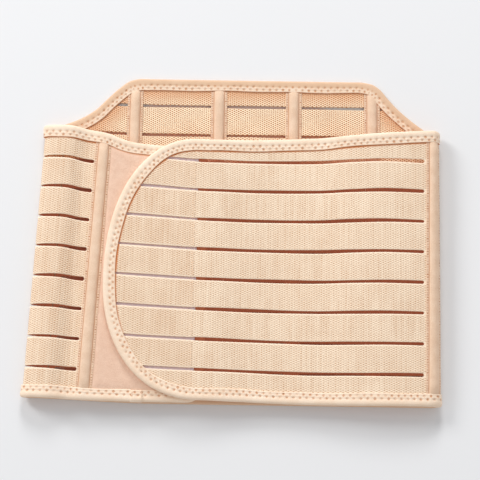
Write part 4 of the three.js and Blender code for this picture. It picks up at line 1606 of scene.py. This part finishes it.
# %% [markdown]
# The light
#
# Two broad, soft lamps stand on the far side of the belt, a window to the upper left and one
# behind its head, in a pale room. The photo's shadow fades out below the belt and on its right.
# The lamps were placed from how it fades there, and then adjusted in trial renders.

# %% Lamps and room
LAMP_REACH = 4
WINDOW = {"bearing": 50, "height": 32, "size": 1.45, "power": 70}
HEAD_LIGHT = {"bearing": 0, "height": 28, "size": 1.2, "power": 76}
ROOM_LIGHT = 0.58


def soft_lamp(name, bearing, height, size, power):
    """A round lamp, at a bearing west of straight up the picture, that shines on the belt."""
    light = bpy.data.lights.new(name, "AREA")
    light.shape = "DISK"
    light.size = size
    light.energy = power
    west, high = np.radians(bearing), np.radians(height)
    way = Vector((-np.cos(high) * np.sin(west), np.cos(high) * np.cos(west), np.sin(high)))
    lamp = bpy.data.objects.new(name, light)
    bpy.context.collection.objects.link(lamp)
    lamp.location = way * LAMP_REACH
    lamp.rotation_euler = (-way).to_track_quat("-Z", "Y").to_euler()


soft_lamp("window", **WINDOW)
soft_lamp("head_light", **HEAD_LIGHT)
world = bpy.data.worlds.new("studio")
world.use_nodes = True
background = world.node_tree.nodes["Background"]
background.inputs["Color"].default_value = (1, 1, 1, 1)
background.inputs["Strength"].default_value = ROOM_LIGHT
bpy.context.scene.world = world
bpy.context.scene.view_settings.view_transform = "Standard"
print("lamps:", ", ".join(light.name for light in bpy.data.lights))

# %% [markdown]
# The camera
#
# It looks almost straight down, leaning a little from the foot of the belt and turned by less
# than a degree, from far enough off that the belt's sides stay nearly parallel. Its focal
# length is given in pixels of the square picture, which the sensor's width turns into
# millimetres.

# %% Camera
PICTURE = 480
FOCAL_PIXELS = 1612.9
SENSOR = 36
LEAN = np.radians(11)
ROLL = np.radians(0.9)
REACH = 1.4
AIM = np.array([5.7, -1.4, 8]) * MM

forward = np.array([0, np.sin(LEAN), -np.cos(LEAN)])
level = np.array([1, 0, 0])
upright = np.array([0, np.cos(LEAN), np.sin(LEAN)])
right = np.cos(ROLL) * level + np.sin(ROLL) * upright
up = np.cos(ROLL) * upright - np.sin(ROLL) * level
camera_data = bpy.data.cameras.new("camera")
camera_data.sensor_width = SENSOR
camera_data.lens = FOCAL_PIXELS * SENSOR / PICTURE
camera = bpy.data.objects.new("camera", camera_data)
bpy.context.collection.objects.link(camera)
camera_place = AIM - forward * REACH
axes = np.stack([right, up, -forward, camera_place], axis=1)
camera.matrix_world = Matrix([*axes.tolist(), [0, 0, 0, 1]])
bpy.context.scene.camera = camera
print(f"camera lens {camera_data.lens:.1f} mm")
